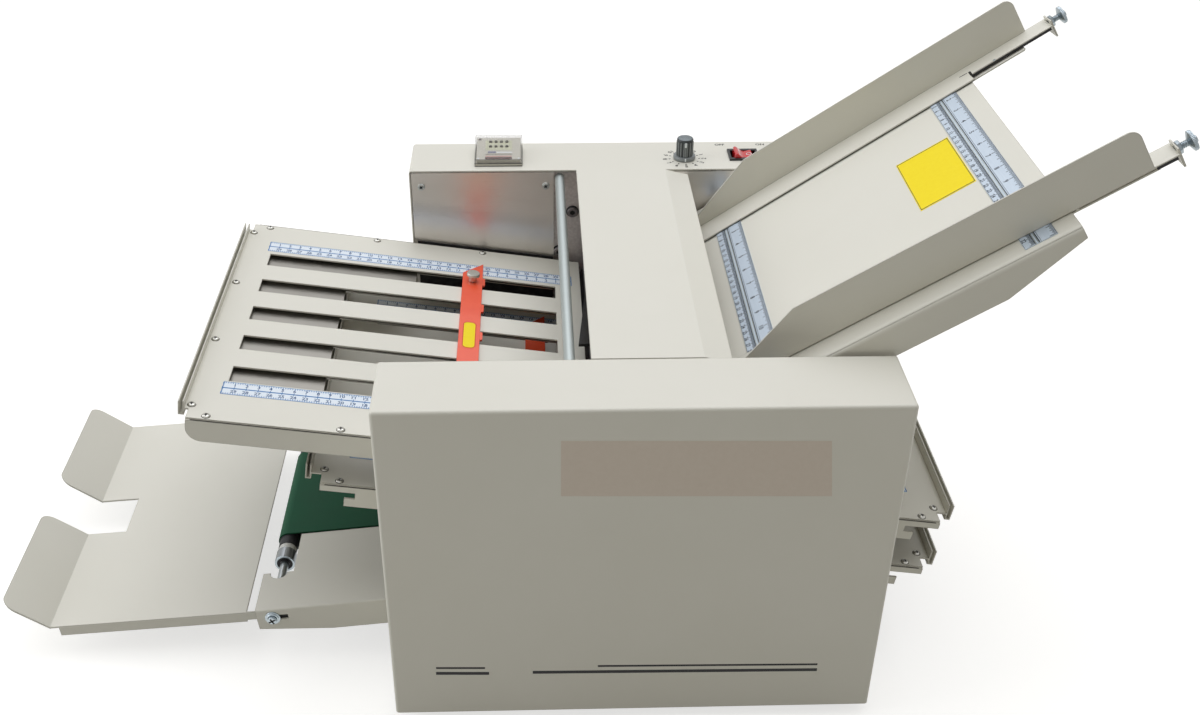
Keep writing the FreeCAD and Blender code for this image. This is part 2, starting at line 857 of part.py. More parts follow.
def loop_shape(first, second, radius, thick, low, high):
    """A belt round two equal pulleys: two half rings joined by straight runs."""
    def hull(r):
        start = FreeCAD.Vector(value(first[0]), value(low), value(first[1]))
        finish = FreeCAD.Vector(value(second[0]), value(low), value(second[1]))
        along = finish - start
        height = value(high) - value(low)
        up = FreeCAD.Vector(0, 1, 0)
        side = up.cross(along).normalize() * r
        corners = [start + side, finish + side, finish - side, start - side, start + side]
        run = Part.Face(Part.makePolygon(corners)).extrude(up * height)
        ends = [Part.makeCylinder(r, height, centre, up) for centre in (start, finish)]
        return run.fuse(ends).removeSplitter()
    return hull(value(radius) + value(thick)).cut(hull(value(radius)))


def drive_belts():
    """The motor belt behind the far cover and two bands behind the near cover."""
    inner = "pulley_radius + belt_clearance"
    margin = "1.5"
    motor = loop_shape(
        ("motor_x", "motor_z"), roller_axis(6), inner, "belt_thick",
        f"{DRIVE_PLANE} + {margin}", f"{DRIVE_PLANE} + pulley_width - {margin}",
    )
    feed = loop_shape(
        roller_axis(2), FEED_AXIS, inner, "belt_thick",
        f"-({BAND_PLANE} + pulley_width) + {margin}", f"-{BAND_PLANE} - {margin}",
    )
    delivery = loop_shape(
        roller_axis(6), DRIVE_AXIS, inner, "belt_thick",
        f"-({BAND_PLANE_2} + pulley_width) + {margin}", f"-{BAND_PLANE_2} - {margin}",
    )
    return node(shape_feature(Part.makeCompound([motor, feed, delivery])), "drive_belts")


def motor():
    """The drive motor on the far frame, with a boss round its shaft."""
    x, z = "motor_x", "motor_z"
    back = f"{FRAME_BACK} + motor_length"
    can = rod("motor_radius", (x, FRAME_BACK, z), (x, back, z))
    boss = rod("9", (x, back, z), (x, f"{back} + 3", z))
    hole = rod("journal_radius + running_clearance", (x, f"{back} - 20", z), (x, f"{back} + 4", z))
    return node(cut(fuse(can, boss), hole), "motor")


def motor_pulley():
    back = f"{FRAME_BACK} + motor_length"
    shaft = turned([
        ("0", f"{back} - 19"),
        ("journal_radius", f"{back} - 19"),
        ("journal_radius", f"{DRIVE_PLANE} + pulley_width"),
        ("0", f"{DRIVE_PLANE} + pulley_width"),
    ])
    made = group(shaft, pulley(DRIVE_PLANE, f"{DRIVE_PLANE} + pulley_width"))
    return node(place(made, "motor_x", "0", "motor_z"), "motor_pulley")


def separator_block():
    """The rubber faced block that lets one sheet through above the feed roller."""
    half = "separator_width / 2"
    low = "feed_slope_place - separator_length / 2"
    high = "feed_slope_place + separator_length / 2"
    bottom = "feed_rise + separator_gap"
    block = body()
    profile = [
        (low, f"{bottom} + 6"),
        ("feed_slope_place - 3", bottom),
        ("feed_slope_place + 3", bottom),
        (high, f"{bottom} + 6"),
        (high, f"{bottom} + separator_height"),
        (low, f"{bottom} + separator_height"),
    ]
    pad(block, "XZ", [profile], f"-({half})", half)
    return node(on_table(block), "separator_block")


def separator_yoke():
    """The yoke that hangs the separator block from a bar between the frames."""
    low = "feed_slope_place - separator_length / 2"
    high = "feed_slope_place + separator_length / 2"
    top = "feed_rise + separator_gap + separator_height + separator_travel + 1"
    outer = "separator_width / 2 + 5"
    cheek_low = "feed_rise + separator_gap + 14"
    yoke = fuse(
        box((low, f"-({FRAME_Y})", top), (high, FRAME_Y, f"{top} + 8")),
        box((low, f"-({outer})", cheek_low), (high, "-(separator_width / 2 + 0.4)", f"{top} + 1")),
        box((low, "separator_width / 2 + 0.4", cheek_low), (high, outer, f"{top} + 1")),
    )
    return on_table(yoke)


# ---------------------------------------------------------------- feed table and guides


def on_table(thing, y="0", *turns):
    return place(thing, "table_x", y, "table_z", ("Y", "-table_tilt"), *turns)


def feed_table():
    """A folded sheet with tapering side walls and a window for the feed roller."""
    half = TABLE_EDGE
    walls = [
        ("table_low", "0"),
        ("table_high", "0"),
        ("table_high", "-table_wall_end"),
        ("table_wall_break", "-table_wall"),
        ("table_low", "-table_wall"),
    ]
    tray = body()
    pad(tray, "XZ", [walls], f"-({half})", half)
    edge = value(TABLE_EDGE)

    def top_side(direction, middle):
        return near(abs(middle.y), edge) and near(middle.z, 0) and near(abs(direction.x), 1)

    soften(tray, "table_bend", top_side)
    inside = rectangle("table_low - 1", "-table_wall - 1", "table_high + 1", "-table_skin")
    pocket(tray, "XZ", [inside], f"-({half}) + table_skin", f"{half} - table_skin")
    reach = "14"
    window = box(
        (f"feed_slope_place - {reach}", "-(feed_width / 2 + 2)", "-table_skin - 1"),
        (f"feed_slope_place + {reach}", "feed_width / 2 + 2", "1"),
    )
    holes = [
        rod(radius, (along, f"-({half}) - 1", above), (along, f"{half} + 1", above))
        for radius, along, above in (
            ("table_bar_radius + running_clearance", "table_bar_place", "-table_bar_drop"),
            ("toe_bar_radius + running_clearance", "table_low + toe_bar_inset", "-toe_bar_drop"),
            ("journal_radius + 2", "feed_slope_place", "feed_rise - feed_radius"),
        )
    ]
    return node(on_table(cut(tray, window, *holes)), "feed_table")


def table_rulers():
    """Two ruled strips across the table, each with a groove between its scales."""
    made = []
    for start in ("ruler_low", "ruler_high"):
        strip = box((start, f"-{RULER_EDGE}", "0"), (f"{start} + ruler_width", RULER_EDGE, "ruler_thick"))
        groove = box(
            (f"{start} + groove_place", f"-{RULER_EDGE} - 1", "ruler_thick - groove_depth"),
            (f"{start} + groove_place + groove_width", f"{RULER_EDGE} + 1", "ruler_thick + 1"),
        )
        made.append(cut(strip, groove))
    return node(on_table(group(*made)), "table_rulers")


def guide_sheet():
    """A tall angle: its wall stands at local y = 0 and its flange points to +y."""
    angle = body()
    wall = [
        ("guide_low", GUIDE_BASE),
        ("guide_high", GUIDE_BASE),
        ("guide_high", f"{GUIDE_BASE} + guide_height - 1"),
        ("guide_front", f"{GUIDE_BASE} + guide_height - 1"),
        ("guide_low", f"{GUIDE_BASE} + guide_skin"),
    ]
    pad(angle, "XZ", [wall], "0", "guide_skin")

    def rear_top(direction, middle):
        at_end = near(middle.x, value("guide_high")) and near(abs(direction.y), 1)
        return at_end and middle.z > value("guide_height") / 2

    soften(angle, "guide_corner", rear_top)
    flange = [
        ("guide_low", "0"),
        ("guide_bar_end", "0"),
        ("guide_bar_end", "guide_bar"),
        ("table_high + 1", "guide_bar"),
        ("table_high + 1", "guide_flange"),
        ("guide_low", "guide_flange"),
    ]
    pad(angle, "XY", [flange], GUIDE_BASE, f"{GUIDE_BASE} + guide_skin")
    return angle


def guide_clamp():
    """The strip that grips the table from below, and the end tab that its screw runs in."""
    under = "-(table_skin + clamp_gap)"
    strip = box(("clamp_start", "3", f"{under} - guide_skin"), ("guide_high + 4", "3 + clamp_width", under))
    riser = box(("table_high + 3", "3", f"{under} - 0.1"), ("table_high + 6", "3 + clamp_width", GUIDE_BASE))
    tab = box(
        ("guide_bar_end", "2", f"{GUIDE_BASE} - screw_drop"),
        ("guide_bar_end + guide_skin", "guide_bar - 2", f"{SCREW_LEVEL} + 4.5"),
    )
    ends = ("guide_bar_end - 1", "guide_bar / 2", SCREW_LEVEL), ("guide_bar_end + guide_skin + 1", "0", "0")
    return fuse(strip, riser), cut(tab, rod("screw_stem_radius + running_clearance", *ends, "X"))


def thumb_screw():
    """A plated thumb screw along the guide, with a nut and a knurled head."""
    start = "guide_bar_end + 0.3"
    nut = "guide_bar_end + guide_skin + 0.3"
    head = f"{nut} + 3 + screw_neck"
    y, z = "guide_bar / 2", SCREW_LEVEL
    return fuse(
        rod("screw_stem_radius", (start, y, z), (f"{head} + 1", y, z), "X"),
        rod("5", (nut, y, z), (f"{nut} + 3", y, z), "X"),
        rod("screw_head_radius", (head, y, z), (f"{head} + screw_head_width", y, z), "X"),
        rod("4", (f"{head} + 1", y, z), (f"{head} + screw_head_width + 2", y, z), "X"),
    )


def guides():
    """Both guides, each with its clamp and thumb screw."""
    for side, y, turns in (
        ("near", f"-({TABLE_EDGE} - guide_near_inset)", []),
        ("far", f"({TABLE_EDGE} - guide_far_inset)", [("Z", "guide_far_skew")]),
    ):
        for thing, name in ((group(guide_sheet(), *guide_clamp()), "guide"), (thumb_screw(), "thumb_screw")):
            if side == "far":
                thing = mirrored(thing)
            node(on_table(thing, y, *turns), f"{side}_{name}")


# ---------------------------------------------------------------- fold plates and stops

PLATE_TOP = {
    n: f"(top_roller_level - ({n} - 0.5) * roller_pitch + rise_plate_{n})" for n in (1, 2, 3, 4)
}
TONGUE = {1: "tongue_plate_1", 2: "tongue_plate_2", 3: "tongue_plate_2", 4: "tongue_plate_2"}
END_HEIGHT = {1: "end_height_plate_1", **{n: "end_height_plate_2" for n in (2, 3, 4)}}


def on_plate(thing, number):
    """Places a piece drawn outwards from the plate's mouth, with z = 0 on its top sheet."""
    left = number % 2 == 1
    along = "stack_shift - plate_mouth" if left else "stack_shift + plate_mouth"
    x, z = tilted(PLATE_TOP[number], along)
    turns = [("Y", "plate_tilt")]
    if left:
        turns.append(("Z", "180"))
    return place(thing, x, "0", z, *turns)


def slot_loops(width, start, ends):
    """Five long slots side by side, one outer end for each."""
    loops = []
    for n, end in zip((-2, -1, 0, 1, 2), ends):
        middle = f"{n} * plate_slot_pitch"
        loops.append(rectangle(start, f"{middle} - {width} / 2", end, f"{middle} + {width} / 2"))
    return loops


def top_sheet(number):
    length = f"length_plate_{number}"
    half = f"({PLATE_EDGE} - plate_inset)"
    tongue = f"{length} + {TONGUE[number]}"
    outline = [
        ("0", f"-{half}"),
        (length, f"-{half}"),
        (length, f"-{half} + end_notch"),
        (tongue, f"-{half} + end_notch"),
        (tongue, f"{half} - end_notch"),
        (length, f"{half} - end_notch"),
        (length, half),
        ("0", half),
    ]
    plate = body()
    pad(plate, "XY", [outline], "-plate_skin", "0")
    loops = slot_loops("plate_slot", "plate_slot_start", [f"{length} - plate_slot_end"] * 5)
    pocket(plate, "XY", loops, "-plate_skin", "0")
    return plate


def side_rail(number):
    """The angle under one long edge of a plate, with the hook that the shorter plates have."""
    length = f"length_plate_{number}"
    top = "-plate_skin"
    if number == 1:
        web = [("2", top), (length, top), (length, "-rail_depth"), ("2", "-rail_depth")]
    else:
        slot_top = "-hook_lip"
        slot_low = "-hook_lip - hook_slot"
        web = [
            ("2", top),
            (length, top),
            (length, slot_top),
            (f"{length} - hook_reach", slot_top),
            (f"{length} - hook_reach", slot_low),
            (f"{length} - hook_start", slot_low),
            (f"{length} - hook_start", "-rail_depth"),
            ("2", "-rail_depth"),
        ]
    edge = PLATE_EDGE
    rail = body()
    pad(rail, "XZ", [web], f"{edge} - plate_skin", edge)
    if number == 1:
        def low_corner(direction, middle):
            at_end = near(middle.x, value(length)) and near(abs(direction.y), 1)
            return at_end and middle.z < -value("rail_depth") + 1
        soften(rail, "rail_round", low_corner)
    pad(rail, "XY", [rectangle("2", f"{edge} - rail_flange", length, edge)], f"{top} - plate_skin", top)
    return rail


def end_rail(number):
    """The narrow channel that closes a plate's outer end."""
    start = f"length_plate_{number} + {TONGUE[number]}"
    finish = f"{start} + 2 * end_wall + end_gap"
    top = END_HEIGHT[number]
    rail = body()
    profile = [
        (start, "-end_drop"),
        (finish, "-end_drop"),
        (finish, top),
        (f"{finish} - end_wall", top),
        (f"{finish} - end_wall", "-end_drop + end_wall"),
        (f"{start} + end_wall", "-end_drop + end_wall"),
        (f"{start} + end_wall", top),
        (start, top),
    ]
    half = f"({PLATE_EDGE} - plate_inset - end_notch)"
    pad(rail, "XZ", [profile], f"-{half}", half)
    return rail


def steel_sheet(number):
    length = f"length_plate_{number}"
    half = f"({PLATE_EDGE} - plate_skin)"
    top = "-plate_skin - plate_throat"
    sheet_metal = body()
    pad(sheet_metal, "XY", [rectangle("0", f"-{half}", f"{length} - 6", half)], f"{top} - plate_steel", top)
    ends = [f"{length} - steel_slot_end"] * 5
    ends[0 if number % 2 else 4] = f"{length} - steel_slot_end_far"
    pocket(sheet_metal, "XY", slot_loops("steel_slot", "plate_slot_start", ends), f"{top} - plate_steel", top)
    return sheet_metal


def plate_screws(number):
    """Small raised screws along the sides and the outer end of the top sheet."""
    length = f"length_plate_{number}"
    side = f"{PLATE_EDGE} - 6"
    spots = []
    count = int((value(length) - value("plate_screw_first")) // value("plate_screw_pitch")) + 1
    for n in range(count):
        along = f"{length} - plate_screw_first - {n} * plate_screw_pitch"
        spots += [(along, side), (along, f"-({side})")]
    spots += [(f"{length} - 1.5", f"{n} * plate_slot_pitch") for n in (-3, -1, 1, 3)]
    return [rod("plate_screw_radius", (x, y, "0"), (x, y, "plate_screw_rise"), "Z") for x, y in spots]


def fold_plate(number):
    rail = side_rail(number)
    frame = group(top_sheet(number), rail, mirrored(rail), end_rail(number))
    node(on_plate(frame, number), f"fold_plate_{number}")
    steel = group(steel_sheet(number), *plate_screws(number))
    node(on_plate(steel, number), f"fold_plate_{number}_steel")


def stop_bar(number):
    """The pointed bar across a plate, with a finger down through each slot."""
    place_s = f"stop_place_{number}"
    low, high = "stop_lift", "stop_lift + stop_thick"
    near_edge, far_edge = f"{place_s} - stop_width / 2", f"{place_s} + stop_width / 2"
    outline = [
        (near_edge, "-stop_reach"),
        (far_edge, "-stop_shoulder"),
        (far_edge, "stop_shoulder"),
        (near_edge, "stop_reach"),
    ]
    bar = body()
    pad(bar, "XY", [outline], low, high)
    tips = "-plate_skin - plate_throat + finger_gap"
    fingers = []
    for n in (-2, -1, 0, 1, 2):
        if n == (-2 if number % 2 else 2):
            continue
        middle = f"{n} * plate_slot_pitch"
        fingers.append(rectangle(
            f"{place_s} - finger_length / 2", f"{middle} - finger_width / 2",
            f"{place_s} + finger_length / 2", f"{middle} + finger_width / 2",
        ))
    pad(bar, "XY", fingers, tips, low)
    y = knob_y(number)
    ends = (place_s, y, f"{low} - 1"), (place_s, y, f"{high} + 1")
    hole = rod("stud_radius + running_clearance", *ends, "Z")
    return node(on_plate(cut(bar, hole), number), f"stop_{number}")


def knob_y(number):
    """The clamping knob sits over the far outer slot, whichever way the plate points."""
    return "-2 * plate_slot_pitch" if number % 2 else "2 * plate_slot_pitch"


def stop_knob(number):
    x, y = f"stop_place_{number}", knob_y(number)
    seat = "stop_lift + stop_thick + 0.3"
    neck = rod("knurl_radius - 2", (x, y, seat), (x, y, f"{seat} + knurl_height / 2"), "Z")
    middle = f"{seat} + knurl_height / 2"
    head = rod("knurl_radius", (x, y, f"{middle} - 1"), (x, y, f"{seat} + knurl_height"), "Z")
    stud = rod("stud_radius", (x, y, "stop_lift"), (x, y, f"{seat} + 1"), "Z")
    return node(on_plate(fuse(neck, head, stud), number), f"stop_knob_{number}")


def mouth_finger():
    """The black pointed finger over the mouth of the top plate, clamped on its bar."""
    low = "finger_bar_z - finger_bar_radius - 8"
    finger = body()
    outline = [("-42.4", "-35"), ("-17", "-35"), ("-28", "65"), ("-32", "65")]
    pad(finger, "XY", [outline], low, f"{low} + 3")
    hub = box(
        ("finger_bar_x - 8", "-34", f"{low} + 3"),
        ("finger_bar_x + 8", "-14", "finger_bar_z + finger_bar_radius + 3"),
    )
    hole = rod(
        "finger_bar_radius + running_clearance",
        ("finger_bar_x", "-35", "finger_bar_z"),
        ("finger_bar_x", "-13", "finger_bar_z"),
    )
    return node(cut(fuse(finger, hub), hole), "mouth_finger")


# ---------------------------------------------------------------- conveyor and tray


def on_conveyor(thing, y="0"):
    return place(thing, CONVEYOR_START[0], y, CONVEYOR_START[1], ("Y", "-conveyor_tilt"))


def arm():
    """The near side arm: a folded angle with a broad top and a cut back nose."""
    piece = body()
    web = [
        ("0", "0"),
        ("conveyor_length", "0"),
        ("conveyor_length", "-arm_depth"),
        ("arm_depth_place", "-arm_depth"),
        ("0", "-arm_nose_depth"),
    ]
    pad(piece, "XZ", [web], f"-{ARM_Y}", f"-{ARM_Y} + arm_skin")
    flange = [
        ("0", f"-{ARM_Y}"),
        ("conveyor_length", f"-{ARM_Y}"),
        ("conveyor_length", "-arm_flange_y"),
        ("arm_nose", "-arm_flange_y"),
        ("arm_nose", "-arm_nose_y"),
        ("0", "-arm_nose_y"),
    ]
    pad(piece, "XY", [flange], "-arm_skin", "0")

    def bend(direction, middle):
        return near(middle.y, -value(ARM_Y)) and near(middle.z, 0) and near(abs(direction.x), 1)

    soften(piece, "arm_skin", bend)
    low, high = f"-{ARM_Y} - 1", f"-{ARM_Y} + arm_skin + 1"
    slot = box(
        ("idler_place - 5", low, f"{IDLER_DROP} - 2.5"),
        ("idler_place + 14", high, f"{IDLER_DROP} + 2.5"),
    )
    seat = rod("journal_radius + 0.3", ("idler_place", low, IDLER_DROP), ("idler_place", high, IDLER_DROP))
    hole = rod("journal_radius + 0.5", (DRIVE_PLACE, low, IDLER_DROP), (DRIVE_PLACE, high, IDLER_DROP))
    corner = ("idler_place", "-arm_nose_y")
    relief = rod("8", (*corner, "-arm_skin - 1"), (*corner, "1"), "Z")
    return cut(piece, fuse(slot, seat, hole), relief)


def conveyor_roller(along, steps, shaft_end):
    """A roller turned with its shaft; each step is how far out it reaches and its radius."""
    def half(sign):
        corners = []
        start = "0"
        for end, radius in steps:
            corners += [(radius, start), (radius, end)]
            start = end
        corners += [("journal_radius", start), ("journal_radius", shaft_end)]
        return [(radius, f"{sign} * ({y})") for radius, y in corners[1:]]
    profile = [("0", f"-({shaft_end})")] + half(-1)[::-1] + half(1) + [("0", shaft_end)]
    x, z = carried(along, IDLER_DROP)
    return place(turned(profile), x, "0", z)


def conveyor():
    first = arm()
    node(on_conveyor(first), "conveyor_arm_near")
    node(on_conveyor(mirrored(arm())), "conveyor_arm_far")
    ends = [("idler_half", "conveyor_roller"), ("collar_end", "collar_radius"), ("hub_end", "hub_radius")]
    node(conveyor_roller("idler_place", ends, f"{ARM_Y} - 0.3"), "conveyor_idler")
    reach = f"{FRAME_BACK} - 0.5"
    drive = conveyor_roller(DRIVE_PLACE, [("belt_width / 2 + 0.6", "conveyor_roller")], reach)
    end = f"-({BAND_PLANE_2} + pulley_width)"
    shaft = rod("journal_radius", ("0", end, "0"), ("0", f"-({reach})", "0"))
    driven = group(shaft, pulley(end, f"-{BAND_PLANE_2}"))
    place(driven, DRIVE_AXIS[0], "0", DRIVE_AXIS[1])
    node(group(drive, driven), "conveyor_drive")
    belt = loop_shape(
        carried("idler_place", IDLER_DROP), DRIVE_AXIS, "conveyor_roller + belt_clearance", "belt_skin",
        "-belt_width / 2", "belt_width / 2",
    )
    node(shape_feature(belt), "conveyor_belt")


def out_tray():
    """The loose tray: a flanged sheet with a finger notch and two bent up tabs."""
    half = TRAY_EDGE
    deck = body()
    outline = [
        ("0", f"-({half})"),
        ("0", half),
        ("-tray_length", half),
        ("-tray_length", "tray_notch"),
        ("-tray_length + tray_notch_depth", "tray_notch"),
        ("-tray_length + tray_notch_depth", "-tray_notch"),
        ("-tray_length", "-tray_notch"),
        ("-tray_length", f"-({half})"),
    ]
    pad(deck, "XY", [outline], "-tray_skin", "0")
    for low, high in ((f"-({half})", f"-({half}) + tray_skin"), (f"{half} - tray_skin", half)):
        pad(deck, "XZ", [rectangle("-tray_length + 8", "-tray_flange", "-1", "0")], low, high)
    tip_x = "-tray_length - tab_reach"
    steep = "tray_skin * sqrt(tab_reach * tab_reach + tab_rise * tab_rise) / tab_reach"
    slant = [
        ("-tray_length + 0.01", "0"),
        (tip_x, "tab_rise"),
        (tip_x, f"tab_rise - {steep}"),
        ("-tray_length + 0.01", f"-{steep}"),
    ]
    for low, high in ((f"-({half})", "-tray_notch"), ("tray_notch", half)):
        pad(deck, "XZ", [slant], low, high)

    corners = []
    for y, inwards in ((half, -1), ("tray_notch", 1)):
        for side in (-1, 1):
            middle = f"{side} * (({y}) + {inwards} * tab_round)"
            far = f"{side} * (({y}) - {inwards})"
            low, high = (middle, far) if side * inwards < 0 else (far, middle)
            block = box((f"{tip_x} - 1", low, "0"), (f"{tip_x} + tab_round", high, "tab_rise + 1"))
            centre = (f"{tip_x} + tab_round", middle)
            corners.append(cut(block, rod("tab_round", (*centre, "-1"), (*centre, "tab_rise + 2"), "Z")))
    ears = []
    for low, high in ((f"-({half})", f"-({half}) + tray_skin"), (f"{half} - tray_skin", half)):
        ear = box(("-1", low, "-tray_ear_depth"), ("tray_ear_reach", high, "0"))
        centre = ("tray_pin_place", f"({low}) - 1", "-tray_pin_drop")
        hole = rod("tray_pin_radius + 0.3", centre, ("0", f"({high}) + 1", "0"))
        ears.append(cut(ear, hole))
    tray = cut(fuse(deck, *ears), *corners)
    return node(place(tray, TRAY_START[0], "0", TRAY_START[1], ("Y", "-tray_tilt")), "out_tray")


# ---------------------------------------------------------------- controls


def counter():
    """The sheet counter: a rimmed housing, its clear lid and two rows of keys."""
    left = "counter_x - counter_width / 2"
    right = "counter_x + counter_width / 2"
    back = f"{COUNTER_FRONT} + counter_depth"
    deck = f"{BODY_TOP} + counter_rim"
    rim = box((left, COUNTER_FRONT, BODY_TOP), (right, back, deck))
    below = box(
        (f"{left} + 2.2", f"{COUNTER_FRONT} + 2.2", f"{BODY_TOP} - counter_body_depth"),
        (f"{right} - 2.2", f"{back} - 2.2", BODY_TOP),
    )
    window = box(
        ("counter_x - display_width / 2", f"{COUNTER_FRONT} + display_inset", f"{deck} - 1"),
        ("counter_x + display_width / 2", f"{COUNTER_FRONT} + display_inset + display_length", f"{deck} + 1"),
    )
    wells = []
    rows = {
        "counter_keys_back": f"{COUNTER_FRONT} + counter_key_row_2",
        "counter_keys_front": f"{COUNTER_FRONT} + counter_key_row_1",
    }
    for name, y in rows.items():
        keys = []
        for n in range(4):
            x = f"counter_x + ({n} - 1.5) * counter_key_pitch"
            low_x, high_x = f"{x} - counter_key_width / 2", f"{x} + counter_key_width / 2"
            low_y, high_y = f"{y} - counter_key_length / 2", f"{y} + counter_key_length / 2"
            keys.append(box((low_x, low_y, f"{deck} - 2"), (high_x, high_y, f"{deck} + counter_key_rise")))
            wells.append(box(
                (f"{low_x} - 0.3", f"{low_y} - 0.3", f"{deck} - 3.5"),
                (f"{high_x} + 0.3", f"{high_y} + 0.3", f"{deck} + 1"),
            ))
        node(group(*keys), name)
    seat = f"{deck} + 0.3"
    groove = rod("counter_hinge_radius + 0.3", (f"{left} + 7", back, seat), (f"{right} - 7", back, seat), "X")
    node(cut(fuse(rim, below), window, groove, *wells), "counter_housing")
    outer = [
        (COUNTER_FRONT, seat),
        (back, seat),
        (back, f"{BODY_TOP} + lid_back_height"),
        (f"{back} - 10", f"{BODY_TOP} + lid_back_height"),
        (COUNTER_FRONT, f"{BODY_TOP} + lid_front_height"),
    ]
    inner = [
        (f"{COUNTER_FRONT} + lid_skin", f"{seat} - 1"),
        (f"{back} - lid_skin", f"{seat} - 1"),
        (f"{back} - lid_skin", f"{BODY_TOP} + lid_back_height - lid_skin"),
        (f"{back} - 10", f"{BODY_TOP} + lid_back_height - lid_skin"),
        (f"{COUNTER_FRONT} + lid_skin", f"{BODY_TOP} + lid_front_height - lid_skin"),
    ]
    lid = body()
    pad(lid, "YZ", [outer], left, right)
    pocket(lid, "YZ", [inner], f"{left} + lid_skin", f"{right} - lid_skin")
    barrel = rod("counter_hinge_radius", (f"{left} + 8", back, seat), (f"{right} - 8", back, seat), "X")
    node(fuse(lid, barrel), "counter_lid")


def speed_control():
    """The potentiometer under the cover and the knob on its shaft."""
    x, y = "knob_x", KNOB_Y
    seat = TOP_INSIDE
    can = rod("pot_radius", (x, y, f"{seat} - pot_height"), (x, y, seat), "Z")
    bush = rod("pot_shaft + 1.3", (x, y, seat), (x, y, f"{BODY_TOP} + 0.3"), "Z")
    floor = f"{seat} - pot_height"
    hole = rod("pot_shaft + running_clearance", (x, y, f"{floor} + 3"), (x, y, f"{BODY_TOP} + 2"), "Z")
    control_board(cut(fuse(can, bush), hole))
    low = f"{BODY_TOP} + knob_lift"
    skirt = rod("knob_skirt", (x, y, low), (x, y, f"{low} + knob_skirt_height"), "Z")
    grip = rod("knob_radius", (x, y, low), (x, y, f"{BODY_TOP} + knob_height"), "Z")
    shaft = rod("pot_shaft", (x, y, f"{seat} - pot_height + 4"), (x, y, f"{low} + 8"), "Z")
    pointer = box(
        (f"{x} - 1", f"{y} - knob_skirt", f"{low} + knob_skirt_height - 0.5"),
        (f"{x} + 1", f"{y} - knob_radius + 1", f"{low} + knob_skirt_height + 1.5"),
    )
    node(fuse(skirt, grip, shaft, pointer), "speed_knob")


def power_switch():
    """A panel switch: a rimmed housing and a rocker that tips about Y."""
    x, y = "switch_x", SWITCH_Y
    half_l, half_w = "switch_length / 2", "switch_width / 2"
    top = f"{BODY_TOP} + switch_rim"
    rim = box((f"{x} - {half_l}", f"{y} - {half_w}", BODY_TOP), (f"{x} + {half_l}", f"{y} + {half_w}", top))
    below = box(
        (f"{x} - {half_l} + 1.7", f"{y} - {half_w} + 1.7", f"{BODY_TOP} - switch_body"),
        (f"{x} + {half_l} - 1.7", f"{y} + {half_w} - 1.7", BODY_TOP),
    )
    well_x, well_y = "rocker_length / 2 + rocker_slack + 2.3", "rocker_width / 2 + rocker_slack"
    well = box(
        (f"{x} - ({well_x})", f"{y} - ({well_y})", f"{BODY_TOP} - 9"),
        (f"{x} + {well_x}", f"{y} + {well_y}", f"{top} + 1"),
    )
    pin = "rocker_width / 2 + rocker_slack + 1.2"
    pin_ends = (x, f"{y} - ({pin} + 0.3)", f"{BODY_TOP} - 1"), (x, f"{y} + {pin} + 0.3", "0")
    node(cut(fuse(rim, below), well, rod("rocker_pin + running_clearance", *pin_ends)), "switch_housing")
    half = "rocker_length / 2"
    paddle = body()
    profile = [
        (f"-({half}) + 1", "-1"),
        ("0", "-5.5"),
        (f"{half} - 1", "-5"),
        (half, "0.8"),
        ("1", "2.6"),
        (f"-({half})", "6.5"),
    ]
    pad(paddle, "XZ", [profile], "-rocker_width / 2", "rocker_width / 2")
    pivot = rod("rocker_pin", ("0", f"-({pin})", "-1"), ("0", pin, "-1"))
    node(place(fuse(paddle, pivot), x, y, BODY_TOP), "rocker")


def mains_inlet():
    """The recessed appliance inlet with its three blades."""
    x, z = "inlet_x", "inlet_z"
    half_w, half_h = "inlet_width / 2", "inlet_height / 2"
    rim = box(
        (f"{x} - {half_w}", OUTER_Y, f"{z} - {half_h}"),
        (f"{x} + {half_w}", f"{OUTER_Y} + inlet_rim", f"{z} + {half_h}"),
    )
    shell = box(
        (f"{x} - {half_w} + 2.2", f"{OUTER_Y} - inlet_depth", f"{z} - {half_h} + 2.2"),
        (f"{x} + {half_w} - 2.2", OUTER_Y, f"{z} + {half_h} - 2.2"),
    )
    socket = box(
        (f"{x} - 12.5", f"{OUTER_Y} - inlet_depth + 4", f"{z} - 8.5"),
        (f"{x} + 12.5", f"{OUTER_Y} + inlet_rim + 1", f"{z} + 8.5"),
    )
    blades = []
    for n, rise in ((-1, 0), (0, 3), (1, 0)):
        blades.append(box(
            (f"{x} + {7 * n} - 1", f"{OUTER_Y} - inlet_depth + 3.9", f"{z} + {rise} - 2"),
            (f"{x} + {7 * n} + 1", f"{OUTER_Y} - 2", f"{z} + {rise} + 2"),
        ))
    return node(fuse(cut(fuse(rim, shell), socket), *blades), "mains_inlet")


def control_board(potentiometer):
    """The speed control board on its standoffs behind the far liner, and the potentiometer it reads."""
    face = f"{INNER_Y} + liner_thick"
    left, low = "board_x - board_length / 2", "board_z - board_height / 2"
    board = box(
        (left, f"{face} + board_standoff", low),
        (f"{left} + board_length", f"{face} + board_standoff + board_thick", f"{low} + board_height"),
    )
    posts = []
    for u in (6, -6):
        for v in (6, -6):
            x = f"{left} + {u}" if u > 0 else f"{left} + board_length - {-u}"
            z = f"{low} + {v}" if v > 0 else f"{low} + board_height - {-v}"
            posts.append(rod("3", (x, face, z), (x, f"{face} + board_standoff", z)))
    back = f"{face} + board_standoff + board_thick"
    transformer = box((f"{left} + 10", back, f"{low} + 12"), (f"{left} + 46", f"{back} + 30", f"{low} + 44"))
    heat_sink = box((f"{left} + 62", back, f"{low} + 14"), (f"{left} + 94", f"{back} + 22", f"{low} + 40"))
    relays = box((f"{left} + 14", back, f"{low} + 54"), (f"{left} + 88", f"{back} + 14", f"{low} + 70"))
    return node(group(fuse(board, transformer, heat_sink, relays, *posts), potentiometer), "control_board")


